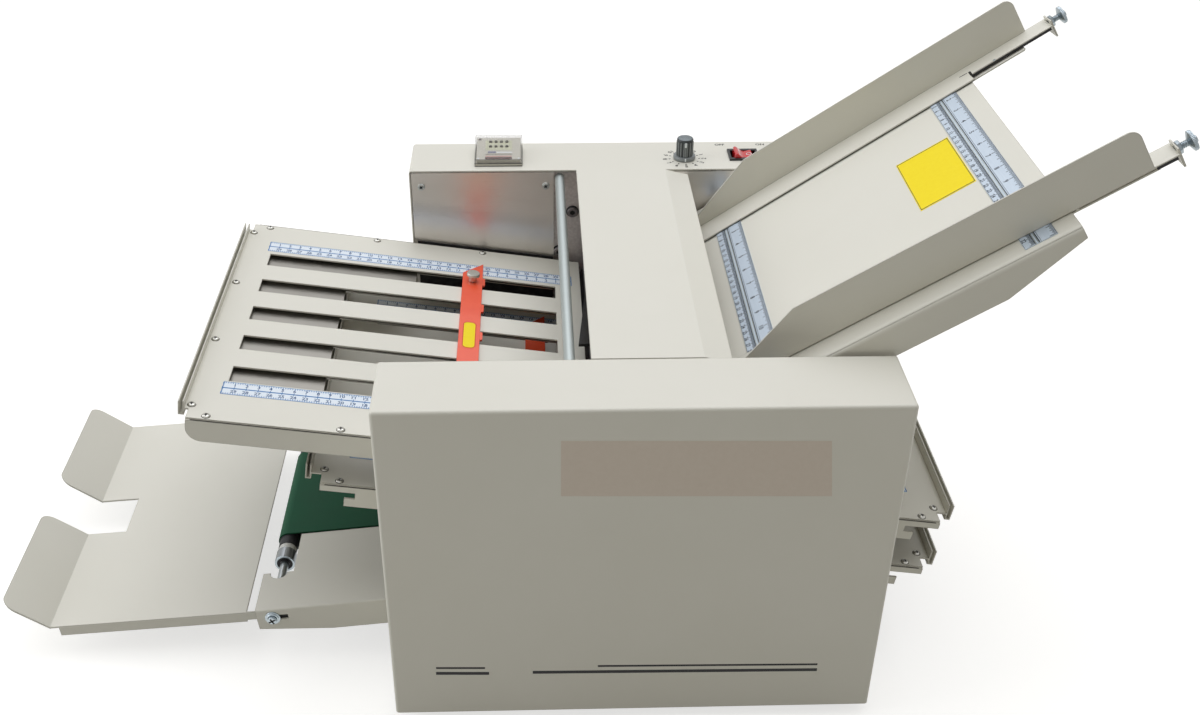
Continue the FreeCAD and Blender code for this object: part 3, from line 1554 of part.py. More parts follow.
def machine_screws():
    """Every fixed screw, pin and spacer of the body."""
    made = []
    edge = "cover_length / 2 - liner_screw_inset"
    inner_edge = "frame_right + liner_gap + liner_screw_inset"
    high, low = f"{TOP_INSIDE} - liner_screw_drop", f"{BASE_TOP} + liner_screw_rise"
    liner_spots = [
        (f"-({edge})", high),
        (f"-({edge})", low),
        ("liner_top_right - liner_screw_edge", high),
        ("frame_low_left - liner_gap - liner_screw_edge", low),
        (inner_edge, low),
        (inner_edge, high),
        (edge, low),
        (edge, high),
    ]
    frame_spots = [(f"frame_screw_x_{n}", f"frame_screw_z_{n}") for n in (1, 2, 3)]
    for side in (-1, 1):
        face = INNER_Y
        for x, z in liner_spots:
            ends = (f"{face} - 2", face) if side > 0 else (f"-({face})", f"-({face}) + 2")
            made.append(rod("3.5", (x, ends[0], z), (x, ends[1], z)))
        for x, z in frame_spots:
            ends = (f"{FRAME_Y} - 3", FRAME_Y) if side > 0 else (f"-{FRAME_Y}", f"-{FRAME_Y} + 3")
            made.append(rod("5", (x, ends[0], z), (x, ends[1], z)))
        for number in (1, 2, 3, 4):
            for along in ("10", "pin_reach"):
                outwards = -1 if number % 2 else 1
                spot = f"stack_shift + {outwards} * (plate_mouth + {along})"
                x, z = tilted(f"{PLATE_TOP[number]} - rail_depth - 3.3", spot)
                inner = f"{PLATE_EDGE} - 5"
                ends = (inner, FRAME_Y) if side > 0 else (f"-{FRAME_Y}", f"-({inner})")
                made.append(rod("3", (x, ends[0], z), (x, ends[1], z)))
        for along, above in ((f"{DRIVE_PLACE} + 2", "-24"), (f"{DRIVE_PLACE} - 12", "-5")):
            x, z = carried(along, above)
            ends = (ARM_Y, FRAME_Y) if side > 0 else (f"-{FRAME_Y}", f"-{ARM_Y}")
            made.append(rod("4", (x, ends[0], z), (x, ends[1], z)))
        pin_low, pin_high = f"{TRAY_EDGE} - tray_pin_grip", f"{ARM_Y} - arm_skin"
        ends = (pin_low, pin_high) if side > 0 else (f"-({pin_high})", f"-({pin_low})")
        x, z = TRAY_PIN
        made.append(rod("tray_pin_radius", (x, ends[0], z), (x, ends[1], z)))
        x, z = carried("idler_place", IDLER_DROP)
        face, rim, crown = ARM_Y, f"{ARM_Y} + 1.2", f"{ARM_Y} + 4"
        if side < 0:
            washer = rod("6.5", (x, f"-({rim})", z), (x, f"-{face}", z))
            head = rod("4", (x, f"-({crown})", z), (x, f"-({rim})", z))
        else:
            washer = rod("6.5", (x, face, z), (x, rim, z))
            head = rod("4", (x, rim, z), (x, crown, z))
        made.append(fuse(washer, head))
    return node(group(*made), "machine_screws")


# ---------------------------------------------------------------- build

base_plate()
feet()
side_frame(-1, "near_side_frame")
side_frame(1, "far_side_frame")
node(cover(-1), "near_cover")
far_cover()
liner_panels()
tie_bars()
bearings()
for roller_number in range(1, 7):
    fold_roller(roller_number)
feed_roller()
separator_block()
drive_belts()
motor()
motor_pulley()
feed_table()
table_rulers()
guides()
for plate_number in (1, 2, 3, 4):
    fold_plate(plate_number)
    stop_bar(plate_number)
    stop_knob(plate_number)
mouth_finger()
conveyor()
out_tray()
counter()
speed_control()
power_switch()
mains_inlet()
machine_screws()

doc.recompute()
for thing in doc.Objects:
    if "Invalid" in thing.State or "Error" in thing.State:
        raise RuntimeError(f"{thing.Name} ({thing.Label}) is {thing.State}")
os.makedirs("parts", exist_ok=True)
for piece in pieces:
    shape = piece.Shape
    if shape.isNull() or not shape.isValid():
        raise RuntimeError(f"{piece.Label} has no valid shape")
    shape.exportStep(f"parts/{piece.Label}.step")
    span = shape.BoundBox
    reach = [f"{low:.1f}..{high:.1f}" for low, high in (
        (span.XMin, span.XMax), (span.YMin, span.YMax), (span.ZMin, span.ZMax)
    )]
    print(f"{piece.Label}: {len(shape.Solids)} solids, {shape.Volume / 1000:.1f} cm3,", *reach)
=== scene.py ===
import math

import bmesh
import bpy
import numpy as np
from mathutils import Matrix, Vector


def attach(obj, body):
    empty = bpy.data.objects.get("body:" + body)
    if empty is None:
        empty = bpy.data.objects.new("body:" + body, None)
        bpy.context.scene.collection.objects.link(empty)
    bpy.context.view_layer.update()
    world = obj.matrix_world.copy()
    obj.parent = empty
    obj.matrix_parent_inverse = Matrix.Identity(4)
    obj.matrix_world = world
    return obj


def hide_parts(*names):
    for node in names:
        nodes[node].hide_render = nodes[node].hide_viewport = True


# Desk paper folding machine. Lengths below are millimetres unless a line says metres.
# +X runs towards the feed table, +Y away from the operator's side cover, +Z up; the desk is at Z = 0.

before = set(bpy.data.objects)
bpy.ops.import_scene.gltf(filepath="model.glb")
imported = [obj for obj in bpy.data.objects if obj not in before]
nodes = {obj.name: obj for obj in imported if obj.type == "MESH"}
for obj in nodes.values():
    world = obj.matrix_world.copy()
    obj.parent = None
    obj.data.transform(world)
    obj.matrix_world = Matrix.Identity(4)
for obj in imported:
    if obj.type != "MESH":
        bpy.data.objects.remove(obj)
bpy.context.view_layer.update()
MM = 0.001

# ---------------------------------------------------------------- places on the machine

BODY_TOP = 333.0
COVER_FACE = 247.0
INNER_Y = 177.0
LINER_Y = INNER_Y - 0.9
FRAME_Y = 180.0
BOARD_FACE_Y = 186.2
PLATE_TILT = math.radians(8.3)
TABLE_TILT = math.radians(32.1)
STACK_SHIFT = -50.0
FOOT_HEIGHT = 12.0
MOUTH = 16.0
PLATE_LEVEL = {1: 210.2, 2: 181.0, 3: 156.7, 4: 128.1}
PLATE_LENGTH = {1: 336.3, 2: 281.3, 3: 224.7, 4: 281.3}
STOP_PLACE = {1: 110.3, 2: 120.0, 3: 39.8, 4: 140.0}
SLOT_PITCH = 50.9
PLATE_HALF = 172.5
TABLE_HIGH = 278.0
TABLE_START = (100.2, 0.0, 298.0)
RULER_HALF = 166.0
RULER_TOP = 0.8
RULER_STARTS = (-2.0, 232.5)
GUIDES = {"near": (-149.5, 0.0), "far": (132.7, math.radians(4.7))}
GUIDE_SCREW_AT = 364.0
IDLER_X, IDLER_Z = -322.43, 54.15
KNOB = (75.0, 204.0)
COUNTER = (-117.0, 187.5)
COUNTER_STEP = 3.0
COUNTER_RISE, COUNTER_SLOPE = 3.0, 0.157
KEY_X = (-8.4, -2.8, 2.8, 8.4)
KEY_ROWS = {"front": 26.8, "back": 35.6}
KEY_HALF = 1.35
KEY_HOLE = 1.75
SWITCH = (137.0, 209.5)
INK_LIFT = 0.06


def outward(number):
    """-1 for the plates on the left, 1 for those on the right."""
    return -1 if number % 2 else 1


def face(origin, x_way, y_way):
    """A flat face's drawing plane: its x and y ways, its normal and its origin, as one matrix in metres."""
    x_way, y_way = Vector(x_way).normalized(), Vector(y_way).normalized()
    turn = Matrix((x_way, y_way, x_way.cross(y_way))).transposed().to_4x4()
    return Matrix.Translation(Vector(origin) * MM) @ turn @ Matrix.Scale(MM, 4)


def flat_at(x, y, z, slope=0.0):
    """A face that looks up; with a slope it climbs towards +Y."""
    return face((x, y, z), (1, 0, 0), (0, 1, slope))


def wall_at(x, y, z, side):
    """An upright face: side 1 looks to -Y, with its x to +X, and side -1 looks to +Y, with its x to -X."""
    return face((x, y, z), (side, 0, 0), (0, 0, 1))


def plate_face(number):
    """A fold plate's top sheet; x runs to +X and y to +Y, and the origin is at the plate's mouth."""
    level, along = PLATE_LEVEL[number], STACK_SHIFT + outward(number) * MOUTH
    x = level * math.sin(PLATE_TILT) + along * math.cos(PLATE_TILT)
    z = FOOT_HEIGHT + level * math.cos(PLATE_TILT) - along * math.sin(PLATE_TILT)
    return face((x, 0, z), (math.cos(PLATE_TILT), 0, -math.sin(PLATE_TILT)), (0, 1, 0))


def plate_height(number, x):
    """How high a fold plate's top sheet lies at x: its level over the feet less what the tilt takes off."""
    level = PLATE_LEVEL[number]
    fall = math.tan(PLATE_TILT) * (x - level * math.sin(PLATE_TILT))
    return FOOT_HEIGHT + level * math.cos(PLATE_TILT) - fall


TABLE_WAY = (math.cos(TABLE_TILT), 0, math.sin(TABLE_TILT))
TABLE_NORMAL = (-math.sin(TABLE_TILT), 0, math.cos(TABLE_TILT))
TABLE_FACE = face(TABLE_START, (0, -1, 0), TABLE_WAY)
COVER_TOP = flat_at(0, 0, BODY_TOP)
COVER_FRONT = wall_at(0, -COVER_FACE, 0, 1)
COVER_BACK = wall_at(0, COVER_FACE, 0, -1)


def guide_ways(side):
    """A paper guide's foot: its origin on the table, and the ways along it and across it."""
    y, skew = GUIDES[side]
    up, back = Vector(TABLE_WAY), Vector((0, 1, 0))
    along = up * math.cos(skew) + back * math.sin(skew)
    across = back * math.cos(skew) - up * math.sin(skew)
    return Vector(TABLE_START) + Vector((0, y, 0)), along, across


# ---------------------------------------------------------------- meshes


def put(name, body, slot, finish, where, *drawings, smooth=None, weld=False, replaces=()):
    """Shows drawings as one piece that rides on a body and takes the finish it is given. The slot argument is
    not used.

    A drawing is (points, faces) in a face's own millimetres, or (points, faces, face). Those without a
    face lie on where, which is one face or a list of faces that each get them all. weld merges the
    points that meet at a pole or a seam.
    """
    points, faces, start = [], [], 0
    for place in where if isinstance(where, list) else [where]:
        for corners, polygons, *own in drawings:
            turn = np.array(own[0] if own else place)
            points.append(corners @ turn[:3, :3].T + turn[:3, 3])
            faces += [[start + i for i in polygon] for polygon in polygons]
            start += len(corners)
    mesh = bpy.data.meshes.new(name)
    mesh.from_pydata(np.concatenate(points).tolist(), [], faces)
    mesh.update()
    if weld:
        work = bmesh.new()
        work.from_mesh(mesh)
        bmesh.ops.remove_doubles(work, verts=work.verts, dist=1e-7)
        work.to_mesh(mesh)
        work.free()
    piece = bpy.data.objects.new(name, mesh)
    bpy.context.scene.collection.objects.link(piece)
    mesh.materials.append(finish)
    if smooth is not None:
        mesh.polygons.foreach_set("use_smooth", np.ones(len(mesh.polygons), bool))
        mesh.set_sharp_from_angle(angle=math.radians(smooth))
    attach(piece, body)
    if replaces:
        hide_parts(*replaces)


def box(x0, y0, x1, y1):
    """A rectangle's four corners."""
    return [(x0, y0), (x1, y0), (x1, y1), (x0, y1)]


def rounded(x0, y0, x1, y1, radius, steps=6):
    """A rectangle's outline with quarter circles for corners: centre + radius * (cos, sin) of each angle."""
    angles = np.linspace(0, math.pi / 2, steps)
    corners = []
    for quarter, (cx, cy) in enumerate((
        (x1 - radius, y1 - radius), (x0 + radius, y1 - radius),
        (x0 + radius, y0 + radius), (x1 - radius, y0 + radius),
    )):
        swept = angles + quarter * math.pi / 2
        corners.append(np.stack([cx + radius * np.cos(swept), cy + radius * np.sin(swept)], 1))
    return np.concatenate(corners)


def strips(index):
    """Quads between neighbouring rows of point numbers, closed round each row."""
    beside = np.roll(index, -1, 1)
    return np.stack([index[:-1], beside[:-1], beside[1:], index[1:]], 2).reshape(-1, 4).tolist()


def prism(outline, low, high, bevel=0.0):
    """An outline lifted from one level to another, with its upper edge drawn in by the bevel.

    Rings of the outline at rising levels: low, high - bevel, and high, where the last ring is each
    corner moved towards the middle by the bevel. Quads join the rings and two flat caps close it.
    """
    outline = np.asarray(outline, float)
    inward = outline.mean(0) - outline
    inward /= np.maximum(np.abs(inward).max(1, keepdims=True), 1e-9)
    levels = [(outline, low), (outline, high - bevel)]
    if bevel:
        levels.append((outline + inward * bevel, high))
    rings = np.concatenate([np.c_[ring, np.full(len(ring), level)] for ring, level in levels])
    index = np.arange(len(rings)).reshape(len(levels), -1)
    return rings, [index[0, ::-1].tolist(), index[-1].tolist()] + strips(index)


def band(outer, inner, level):
    """Flat ink between two outlines that have as many corners each."""
    outline = np.concatenate([outer, inner])
    return np.c_[outline, np.full(len(outline), level)], strips(np.arange(len(outline)).reshape(2, -1))


def turned(profile, around=48, ripple=None):
    """A piece turned about the face's normal: the profile's (radius, height) carried round a circle.

    The point for step i and angle a is (r cos a, r sin a, h), where r is the profile's radius less
    ripple(a, i), so a ripple gives flutes, knurls or flats. Both ends close on the axis.
    """
    profile = np.asarray(profile, float)
    angles = np.linspace(0, 2 * math.pi, around, endpoint=False)
    radius = np.repeat(profile[:, :1], around, 1)
    if ripple is not None:
        radius = radius - ripple(angles[None, :], np.arange(len(profile))[:, None])
    radius = np.maximum(radius, 0)
    height = np.repeat(profile[:, 1:], around, 1)
    points = np.stack([radius * np.cos(angles), radius * np.sin(angles), height], 2).reshape(-1, 3)
    return points, strips(np.arange(len(points)).reshape(-1, around))


def knurl(depth, first, last):
    """A ripple of 44 cuts on the profile's steps from first to last: depth * (0.5 + 0.5 cos 44a)."""
    return lambda angle, step: depth * (0.5 + 0.5 * np.cos(44 * angle)) * ((step >= first) & (step <= last))


def bars(boxes, level=INK_LIFT):
    """Flat ink: one quad for each (x0, y0, x1, y1), all at one level."""
    flat = np.asarray(boxes, float)[:, [0, 1, 2, 1, 2, 3, 0, 3]].reshape(-1, 2)
    return np.c_[flat, np.full(len(flat), level)], np.arange(len(flat)).reshape(-1, 4).tolist()


def ticks(start, step, count, base, lengths, width):
    """Scale lines on x = start + step * n; every line's length is that of the largest interval it falls on.

    lengths is a list of (interval, length), the finest first, and a negative length runs downwards.
    """
    n = np.arange(count)
    length = np.zeros(count)
    for interval, reach in lengths:
        length = np.where(n % interval == 0, reach, length)
    x = start + step * n
    ends = np.stack([np.full(count, base), base + length], 1)
    return np.stack([x - width / 2, ends.min(1), x + width / 2, ends.max(1)], 1)


glyph_store = {}


def glyphs(text):
    """The flat mesh of a word at size 1, centred, as arrays."""
    if text not in glyph_store:
        curve = bpy.data.curves.new("word", "FONT")
        curve.body, curve.size = text, 1.0
        curve.align_x, curve.align_y = "CENTER", "CENTER"
        curve.resolution_u = 2
        curve.offset = 0.02
        holder = bpy.data.objects.new("word", curve)
        bpy.context.scene.collection.objects.link(holder)
        bpy.context.view_layer.update()
        evaluated = holder.evaluated_get(bpy.context.evaluated_depsgraph_get())
        mesh = bpy.data.meshes.new_from_object(evaluated)
        points = np.zeros(len(mesh.vertices) * 3)
        mesh.vertices.foreach_get("co", points)
        glyph_store[text] = points.reshape(-1, 3), [list(polygon.vertices) for polygon in mesh.polygons]
        bpy.data.objects.remove(holder)
        bpy.data.meshes.remove(mesh)
        bpy.data.curves.remove(curve)
    return glyph_store[text]


def lettering(entries, level=INK_LIFT):
    """Words as flat ink: each entry is (word, x, y, size, turn in degrees)."""
    points, faces, start = [], [], 0
    for word, x, y, size, turn in entries:
        shape, polygons = glyphs(word)
        c, s = math.cos(math.radians(turn)) * size, math.sin(math.radians(turn)) * size
        flat = shape[:, :2] @ np.array([[c, s], [-s, c]]) + (x, y)
        points.append(np.c_[flat, np.full(len(flat), level)])
        faces += [[start + i for i in polygon] for polygon in polygons]
        start += len(flat)
    return np.concatenate(points), faces


def cross_head(radius, height):
    """A round screw head with a cross recess.

    Height over the seat is a dome, height * (0.35 + 0.65 * sqrt(1 - (r / radius)^2)), less a cross:
    where a point is within a seventh of the radius of either axis and inside 0.61 of it, it sinks.
    """
    share = np.array([1.0, 1.0, 0.9, 0.72, 0.62, 0.6, 0.4, 0.2, 0.0])[:, None]
    angles = np.linspace(0, 2 * math.pi, 40, endpoint=False)
    x, y = radius * share * np.cos(angles), radius * share * np.sin(angles)
    z = np.repeat(height * (0.35 + 0.65 * np.sqrt(np.maximum(1 - share ** 2, 0))), len(angles), 1)
    z[0] = 0
    near_axis = np.minimum(np.abs(x), np.abs(y)) < radius / 7
    z = z - 0.6 * height * (near_axis & (share < 0.61))
    return np.stack([x, y, z], 2).reshape(-1, 3), strips(np.arange(z.size).reshape(z.shape))


def cross_mark(size, level, angle=0.0):
    """The shade in a cross recess: two slim bars laid across each other at one level."""
    half, slim = size / 2, size / 8
    points, faces = bars([(-half, -slim, half, slim), (-slim, -half, slim, half)], level)
    c, s = math.cos(angle), math.sin(angle)
    points[:, :2] = points[:, :2] @ np.array([[c, s], [-s, c]])
    return points, faces


def moved(drawing, x, y):
    """A drawing shifted on its face."""
    points, faces = drawing
    return points + (x, y, 0.0), faces


# ---------------------------------------------------------------- finishes


def linear(code):
    """A colour written #rrggbb as the shader's linear numbers."""
    parts = [int(code[i:i + 2], 16) / 255 for i in (1, 3, 5)]
    return (*[p / 12.92 if p <= 0.04045 else ((p + 0.055) / 1.055) ** 2.4 for p in parts], 1.0)


def per_mm(size):
    """The noise scale, in cells for each metre, that gives cells of this many millimetres."""
    return 1000.0 / size


def add(tree, kind, inputs=None, out=0, **settings):
    """Adds one shader node and gives an output. An input is a number, a colour or another node's output."""
    node = tree.nodes.new("ShaderNode" + kind)
    for key, setting in settings.items():
        setattr(node, key, setting)
    for key, given in (inputs or {}).items():
        if isinstance(given, bpy.types.NodeSocket):
            tree.links.new(given, node.inputs[key])
        else:
            node.inputs[key].default_value = given
    return node.outputs[out]


def started(name):
    """A new finish: its material, its node tree and its object coordinates."""
    material = bpy.data.materials.new(name)
    material.use_nodes = True
    return material, material.node_tree, add(material.node_tree, "TexCoord", out="Object")


def finished(material, **given):
    """Links outputs to the shader, or sets constants on it; an underscore stands for a socket's space."""
    for key, source in given.items():
        socket = material.node_tree.nodes["Principled BSDF"].inputs[key.replace("_", " ")]
        if isinstance(source, bpy.types.NodeSocket):
            material.node_tree.links.new(source, socket)
        else:
            socket.default_value = source
    return material


def worn_edges(tree, radius):
    """Edges drawn round, and the nearness of an edge, from the dot of the rounded and true normals; the
    nearness masks the painted edge shade.
    """
    rounding = add(tree, "Bevel", {"Radius": radius * MM}, samples=6)
    true = add(tree, "NewGeometry", out="Normal")
    match = add(tree, "VectorMath", {0: rounding, 1: true}, "Value", operation="DOT_PRODUCT")
    return rounding, add(tree, "MapRange", {
        "Value": match, "From Min": 0.985, "From Max": 0.86, "To Min": 0.0, "To Max": 1.0,
    })


def cloudy(tree, place, cell, detail, tone, other, **noise):
    """A colour that drifts between two tones over cells of so many millimetres, and the drift itself."""
    drift = add(tree, "TexNoise", {"Vector": place, "Scale": per_mm(cell), "Detail": detail, **noise})
    return add(tree, "MixRGB", {"Fac": drift, "Color1": linear(tone), "Color2": linear(other)}), drift


def thinned(tree, colour, edge, share, other):
    """Painted shade along the edges: the colour mixed towards a darker tone where an edge is near."""
    shade_amount = add(tree, "Math", {0: edge, 1: share}, operation="MULTIPLY")
    return add(tree, "MixRGB", {"Fac": shade_amount, "Color1": colour, "Color2": linear(other)})


def drawn_out(tree, place, stretch, detail, **noise):
    """Streaks: noise whose cells are drawn out, with a scale in cells for each metre on every axis."""
    stretched = add(tree, "Mapping", {"Vector": place, "Scale": stretch})
    return add(tree, "TexNoise", {"Vector": stretched, "Scale": 1.0, "Detail": detail, **noise})


def grained(tree, height, strength, depth, smoothest, roughest, sheen=None, **given):
    """The shader's Normal and Roughness from one texture, or its roughness from another; depth is in mm."""
    bump = add(tree, "Bump", {"Height": height, "Strength": strength, "Distance": depth * MM, **given})
    gloss = {"Value": height if sheen is None else sheen, "To Min": smoothest, "To Max": roughest}
    return {"Normal": bump, "Roughness": add(tree, "MapRange", gloss)}


def powder_coat_sprayed(name, body_tone, shade_tone, edge_shade_tone):
    """Sprayed and baked powder coat: satin, with an orange peel of about 1.5 mm and painted shade that makes
    its edges a little darker.
    """
    material, tree, place = started(name)
    normal, edge = worn_edges(tree, 1.1)
    tone, _ = cloudy(tree, place, 120, 3.0, body_tone, shade_tone, Roughness=0.55)
    peel = add(tree, "TexNoise", {"Vector": place, "Scale": per_mm(1.5), "Detail": 2.0, "Roughness": 0.5})
    grit = add(tree, "TexNoise", {"Vector": place, "Scale": per_mm(0.35), "Detail": 1.0})
    relief = add(tree, "Math", {0: grit, 1: 0.35, 2: peel}, operation="MULTIPLY_ADD")
    return finished(material, Base_Color=thinned(tree, tone, edge, 0.62, edge_shade_tone), Specular_IOR_Level=0.42,
                    **grained(tree, relief, 0.30, 0.06, 0.34, 0.50, peel, Normal=normal))


def steel_brushed(name, bright, dull, stretch, smoothest=0.20, roughest=0.36):
    """Brushed sheet steel: long fine scratches one way, which draw reflections out across them."""
    material, tree, place = started(name)
    grain = drawn_out(tree, place, stretch, 6.0, Roughness=0.7)
    cloud = add(tree, "TexNoise", {"Vector": place, "Scale": per_mm(70), "Detail": 3.0})
    share = add(tree, "Math", {0: grain, 1: 0.6}, operation="MULTIPLY")
    mix = add(tree, "Math", {0: cloud, 1: 0.5, 2: share}, operation="MULTIPLY_ADD")
    colour = add(tree, "MixRGB", {"Fac": mix, "Color1": linear(dull), "Color2": linear(bright)})
    rough = add(tree, "MapRange", {
        "Value": grain, "From Min": 0.3, "From Max": 0.7, "To Min": smoothest, "To Max": roughest,
    })
    bump = add(tree, "Bump", {"Height": grain, "Strength": 0.22, "Distance": 0.00004})
    return finished(material, Base_Color=colour, Metallic=1.0, Roughness=rough, Normal=bump)


def zinc_barrel_plated(name, pale, deep):
    """Bright zinc on screws and small parts: a faint cloudy spangle and soft corners."""
    material, tree, place = started(name)
    normal, _ = worn_edges(tree, 0.3)
    colour, _ = cloudy(tree, place, 1.6, 2.0, pale, deep)
    fine = add(tree, "TexNoise", {"Vector": place, "Scale": per_mm(0.5), "Detail": 3.0})
    return finished(material, Base_Color=colour, Metallic=1.0,
                    **grained(tree, fine, 0.10, 0.02, 0.22, 0.38, Normal=normal))


def steel_bar_ground():
    """Centreless ground bar: pale bluish steel with fine rings round it, and a satin gleam along it."""
    material, tree, place = started("steel_bar_ground")
    rings = drawn_out(tree, place, (40.0, 2600.0, 40.0), 4.0)
    colour = add(tree, "MixRGB", {"Fac": rings, "Color1": linear("#a6adab"), "Color2": linear("#c0c7c4")})
    return finished(material, Base_Color=colour, Metallic=1.0, **grained(tree, rings, 0.18, 0.03, 0.40, 0.55))


def gloss_paint_brushed():
    """Orange red enamel on the stop bars: glossy, uneven in depth, and darker at the edges by painted shade.
    """
    material, tree, place = started("gloss_paint_orange")
    normal, edge = worn_edges(tree, 0.5)
    tone, _ = cloudy(tree, place, 9, 3.0, "#ee4f2c", "#f65f38")
    peel = add(tree, "TexNoise", {"Vector": place, "Scale": per_mm(1.2), "Detail": 1.0})
    bump = add(tree, "Bump", {"Height": peel, "Strength": 0.12, "Distance": 0.00005, "Normal": normal})
    return finished(material, Base_Color=thinned(tree, tone, edge, 0.55, "#a5281a"), Roughness=0.30,
                    Coat_Weight=0.35, Coat_Roughness=0.12, Normal=bump)


def rubber_moulded(name, tone, dust):
    """Moulded rubber: matt and dark, with a fine pebble and a little paper dust."""
    material, tree, place = started(name)
    specks = add(tree, "TexNoise", {"Vector": place, "Scale": per_mm(6), "Detail": 5.0})
    powder = add(tree, "MapRange", {"Value": specks, "From Min": 0.45, "From Max": 0.8})
    colour = add(tree, "MixRGB", {"Fac": powder, "Color1": linear(tone), "Color2": linear(dust)})
    pebble = add(tree, "TexNoise", {"Vector": place, "Scale": per_mm(0.5), "Detail": 2.0})
    return finished(material, Base_Color=colour, **grained(tree, pebble, 0.35, 0.08, 0.62, 0.85))


def pvc_belt_woven():
    """Green PVC conveyor belt: satin, over a plain weave that shows as a faint lattice.

    The wave texture's phase is 20 times its scaled length, so this scale gives a thread every 0.62 mm.
    """
    material, tree, place = started("pvc_belt_woven")
    warp, weft = (
        add(tree, "TexWave", {"Vector": place, "Scale": per_mm(1.0) / 6.2832 * 3.2, "Distortion": 0.3},
            "Fac", bands_direction=way) for way in "XY"
    )
    weave = add(tree, "Math", {0: warp, 1: weft}, operation="MULTIPLY")
    tone, cloud = cloudy(tree, place, 45, 4.0, "#11482f", "#1d5f41")
    colour = add(tree, "MixRGB", {"Fac": 0.12, "Color1": tone, "Color2": weave}, blend_type="MULTIPLY")
    return finished(material, Base_Color=colour, Specular_IOR_Level=0.22,
                    **grained(tree, weave, 0.22, 0.08, 0.50, 0.68, cloud))


def sleeved_roller(name, sleeve_half, collar_half, hub_half, sleeve_tone="#1b1b1d"):
    """A ground rubber sleeve on a steel shaft: bands by the distance from the machine's middle plane.

    Sleeve out to the first distance, a white nylon collar to the second, a bearing's bright ring to
    the third, and then the bare shaft.
    """
    material, tree, place = started(name)
    across = add(tree, "Math", {0: add(tree, "SeparateXYZ", {"Vector": place}, "Y")}, operation="ABSOLUTE")
    colour, fine = cloudy(tree, place, 1.1, 3.0, sleeve_tone, "#2e2e31")
    past = []
    for edge, tone in ((sleeve_half, "#dcdcd6"), (collar_half, "#a3a7a9"), (hub_half, "#b5b9b9")):
        past.append(add(tree, "Math", {0: across, 1: edge * MM}, operation="GREATER_THAN"))
        colour = add(tree, "MixRGB", {"Fac": past[-1], "Color1": colour, "Color2": linear(tone)})
    metal = past[1]
    sleeve_rough = add(tree, "MapRange", {"Value": metal, "To Min": 0.55, "To Max": 0.0})
    given = grained(tree, fine, 0.12, 0.05, 0.24, 0.38)
    given["Roughness"] = add(tree, "Math", {0: metal, 1: given["Roughness"], 2: sleeve_rough},
                             operation="MULTIPLY_ADD")
    return finished(material, Base_Color=colour, Metallic=metal, **given)


def plastic_moulded(name, tone, shade, roughest=0.45, coat=0.0, grain=0.6):
    """Moulded plastic: a fine spark-eroded grain, slightly cloudy in tone, with softened corners."""
    material, tree, place = started(name)
    normal, _ = worn_edges(tree, 0.35)
    colour, _ = cloudy(tree, place, 14, 3.0, tone, shade)
    texture = add(tree, "TexNoise", {"Vector": place, "Scale": per_mm(grain), "Detail": 2.0})
    return finished(material, Base_Color=colour, Coat_Weight=coat, Coat_Roughness=0.08,
                    **grained(tree, texture, 0.15, 0.04, roughest * 0.6, roughest, Normal=normal))


def acrylic_clear_moulded():
    """Clear moulded lid: almost colourless, with painted shade that makes its rims darker and less clear, and
    faint rubbing marks.
    """
    material, tree, place = started("acrylic_clear_moulded")
    normal, edge = worn_edges(tree, 1.2)
    rub = add(tree, "TexNoise", {"Vector": place, "Scale": per_mm(5), "Detail": 5.0})
    rough = add(tree, "MapRange", {"Value": rub, "To Min": 0.04, "To Max": 0.20})
    edge_shade_alpha = add(tree, "MapRange", {"Value": edge, "To Min": 0.10, "To Max": 0.80})
    edge_shade_tint = add(tree, "MixRGB", {"Fac": edge, "Color1": linear("#aeaba2"), "Color2": linear("#666966")})
    return finished(material, Base_Color=edge_shade_tint, Roughness=rough, Alpha=edge_shade_alpha, Normal=normal)


def aluminium_strip_printed():
    """Anodised ruler strip: pale blue, with drawing lines along it and a dry satin gloss."""
    material, tree, place = started("aluminium_strip_printed")
    grain = drawn_out(tree, place, (1900.0, 60.0, 1900.0), 4.0)
    colour = add(tree, "MixRGB", {"Fac": grain, "Color1": linear("#bccbd9"), "Color2": linear("#d5e0ea")})
    return finished(material, Base_Color=colour, Metallic=0.1, **grained(tree, grain, 0.1, 0.03, 0.34, 0.5))


def film_printed(name, tone, shade, gloss=0.34):
    """Printed film: flat colour with the slight mottle of thin ink, and a soft even sheen."""
    material, tree, place = started(name)
    colour, mottle = cloudy(tree, place, 3.5, 4.0, tone, shade)
    return finished(material, Base_Color=colour, Specular_IOR_Level=0.3,
                    **grained(tree, mottle, 0.08, 0.05, gloss * 0.8, gloss * 1.3))


def hammered_enamel_sprayed():
    """Machine enamel on the side frames: a half metallic brown grey with a fine speckle."""
    material, tree, place = started("hammered_enamel_sprayed")
    normal, _ = worn_edges(tree, 0.8)
    cells = add(tree, "TexVoronoi", {"Vector": place, "Scale": per_mm(2.6)}, "Distance", feature="SMOOTH_F1")
    tone, cloud = cloudy(tree, place, 55, 4.0, "#d5ccc9", "#e0d9d6")
    colour = add(tree, "MixRGB", {"Fac": cells, "Color1": tone, "Color2": linear("#b8afac")})
    return finished(material, Base_Color=colour, Metallic=0.3,
                    **grained(tree, cells, 0.2, 0.1, 0.30, 0.46, cloud, Normal=normal))


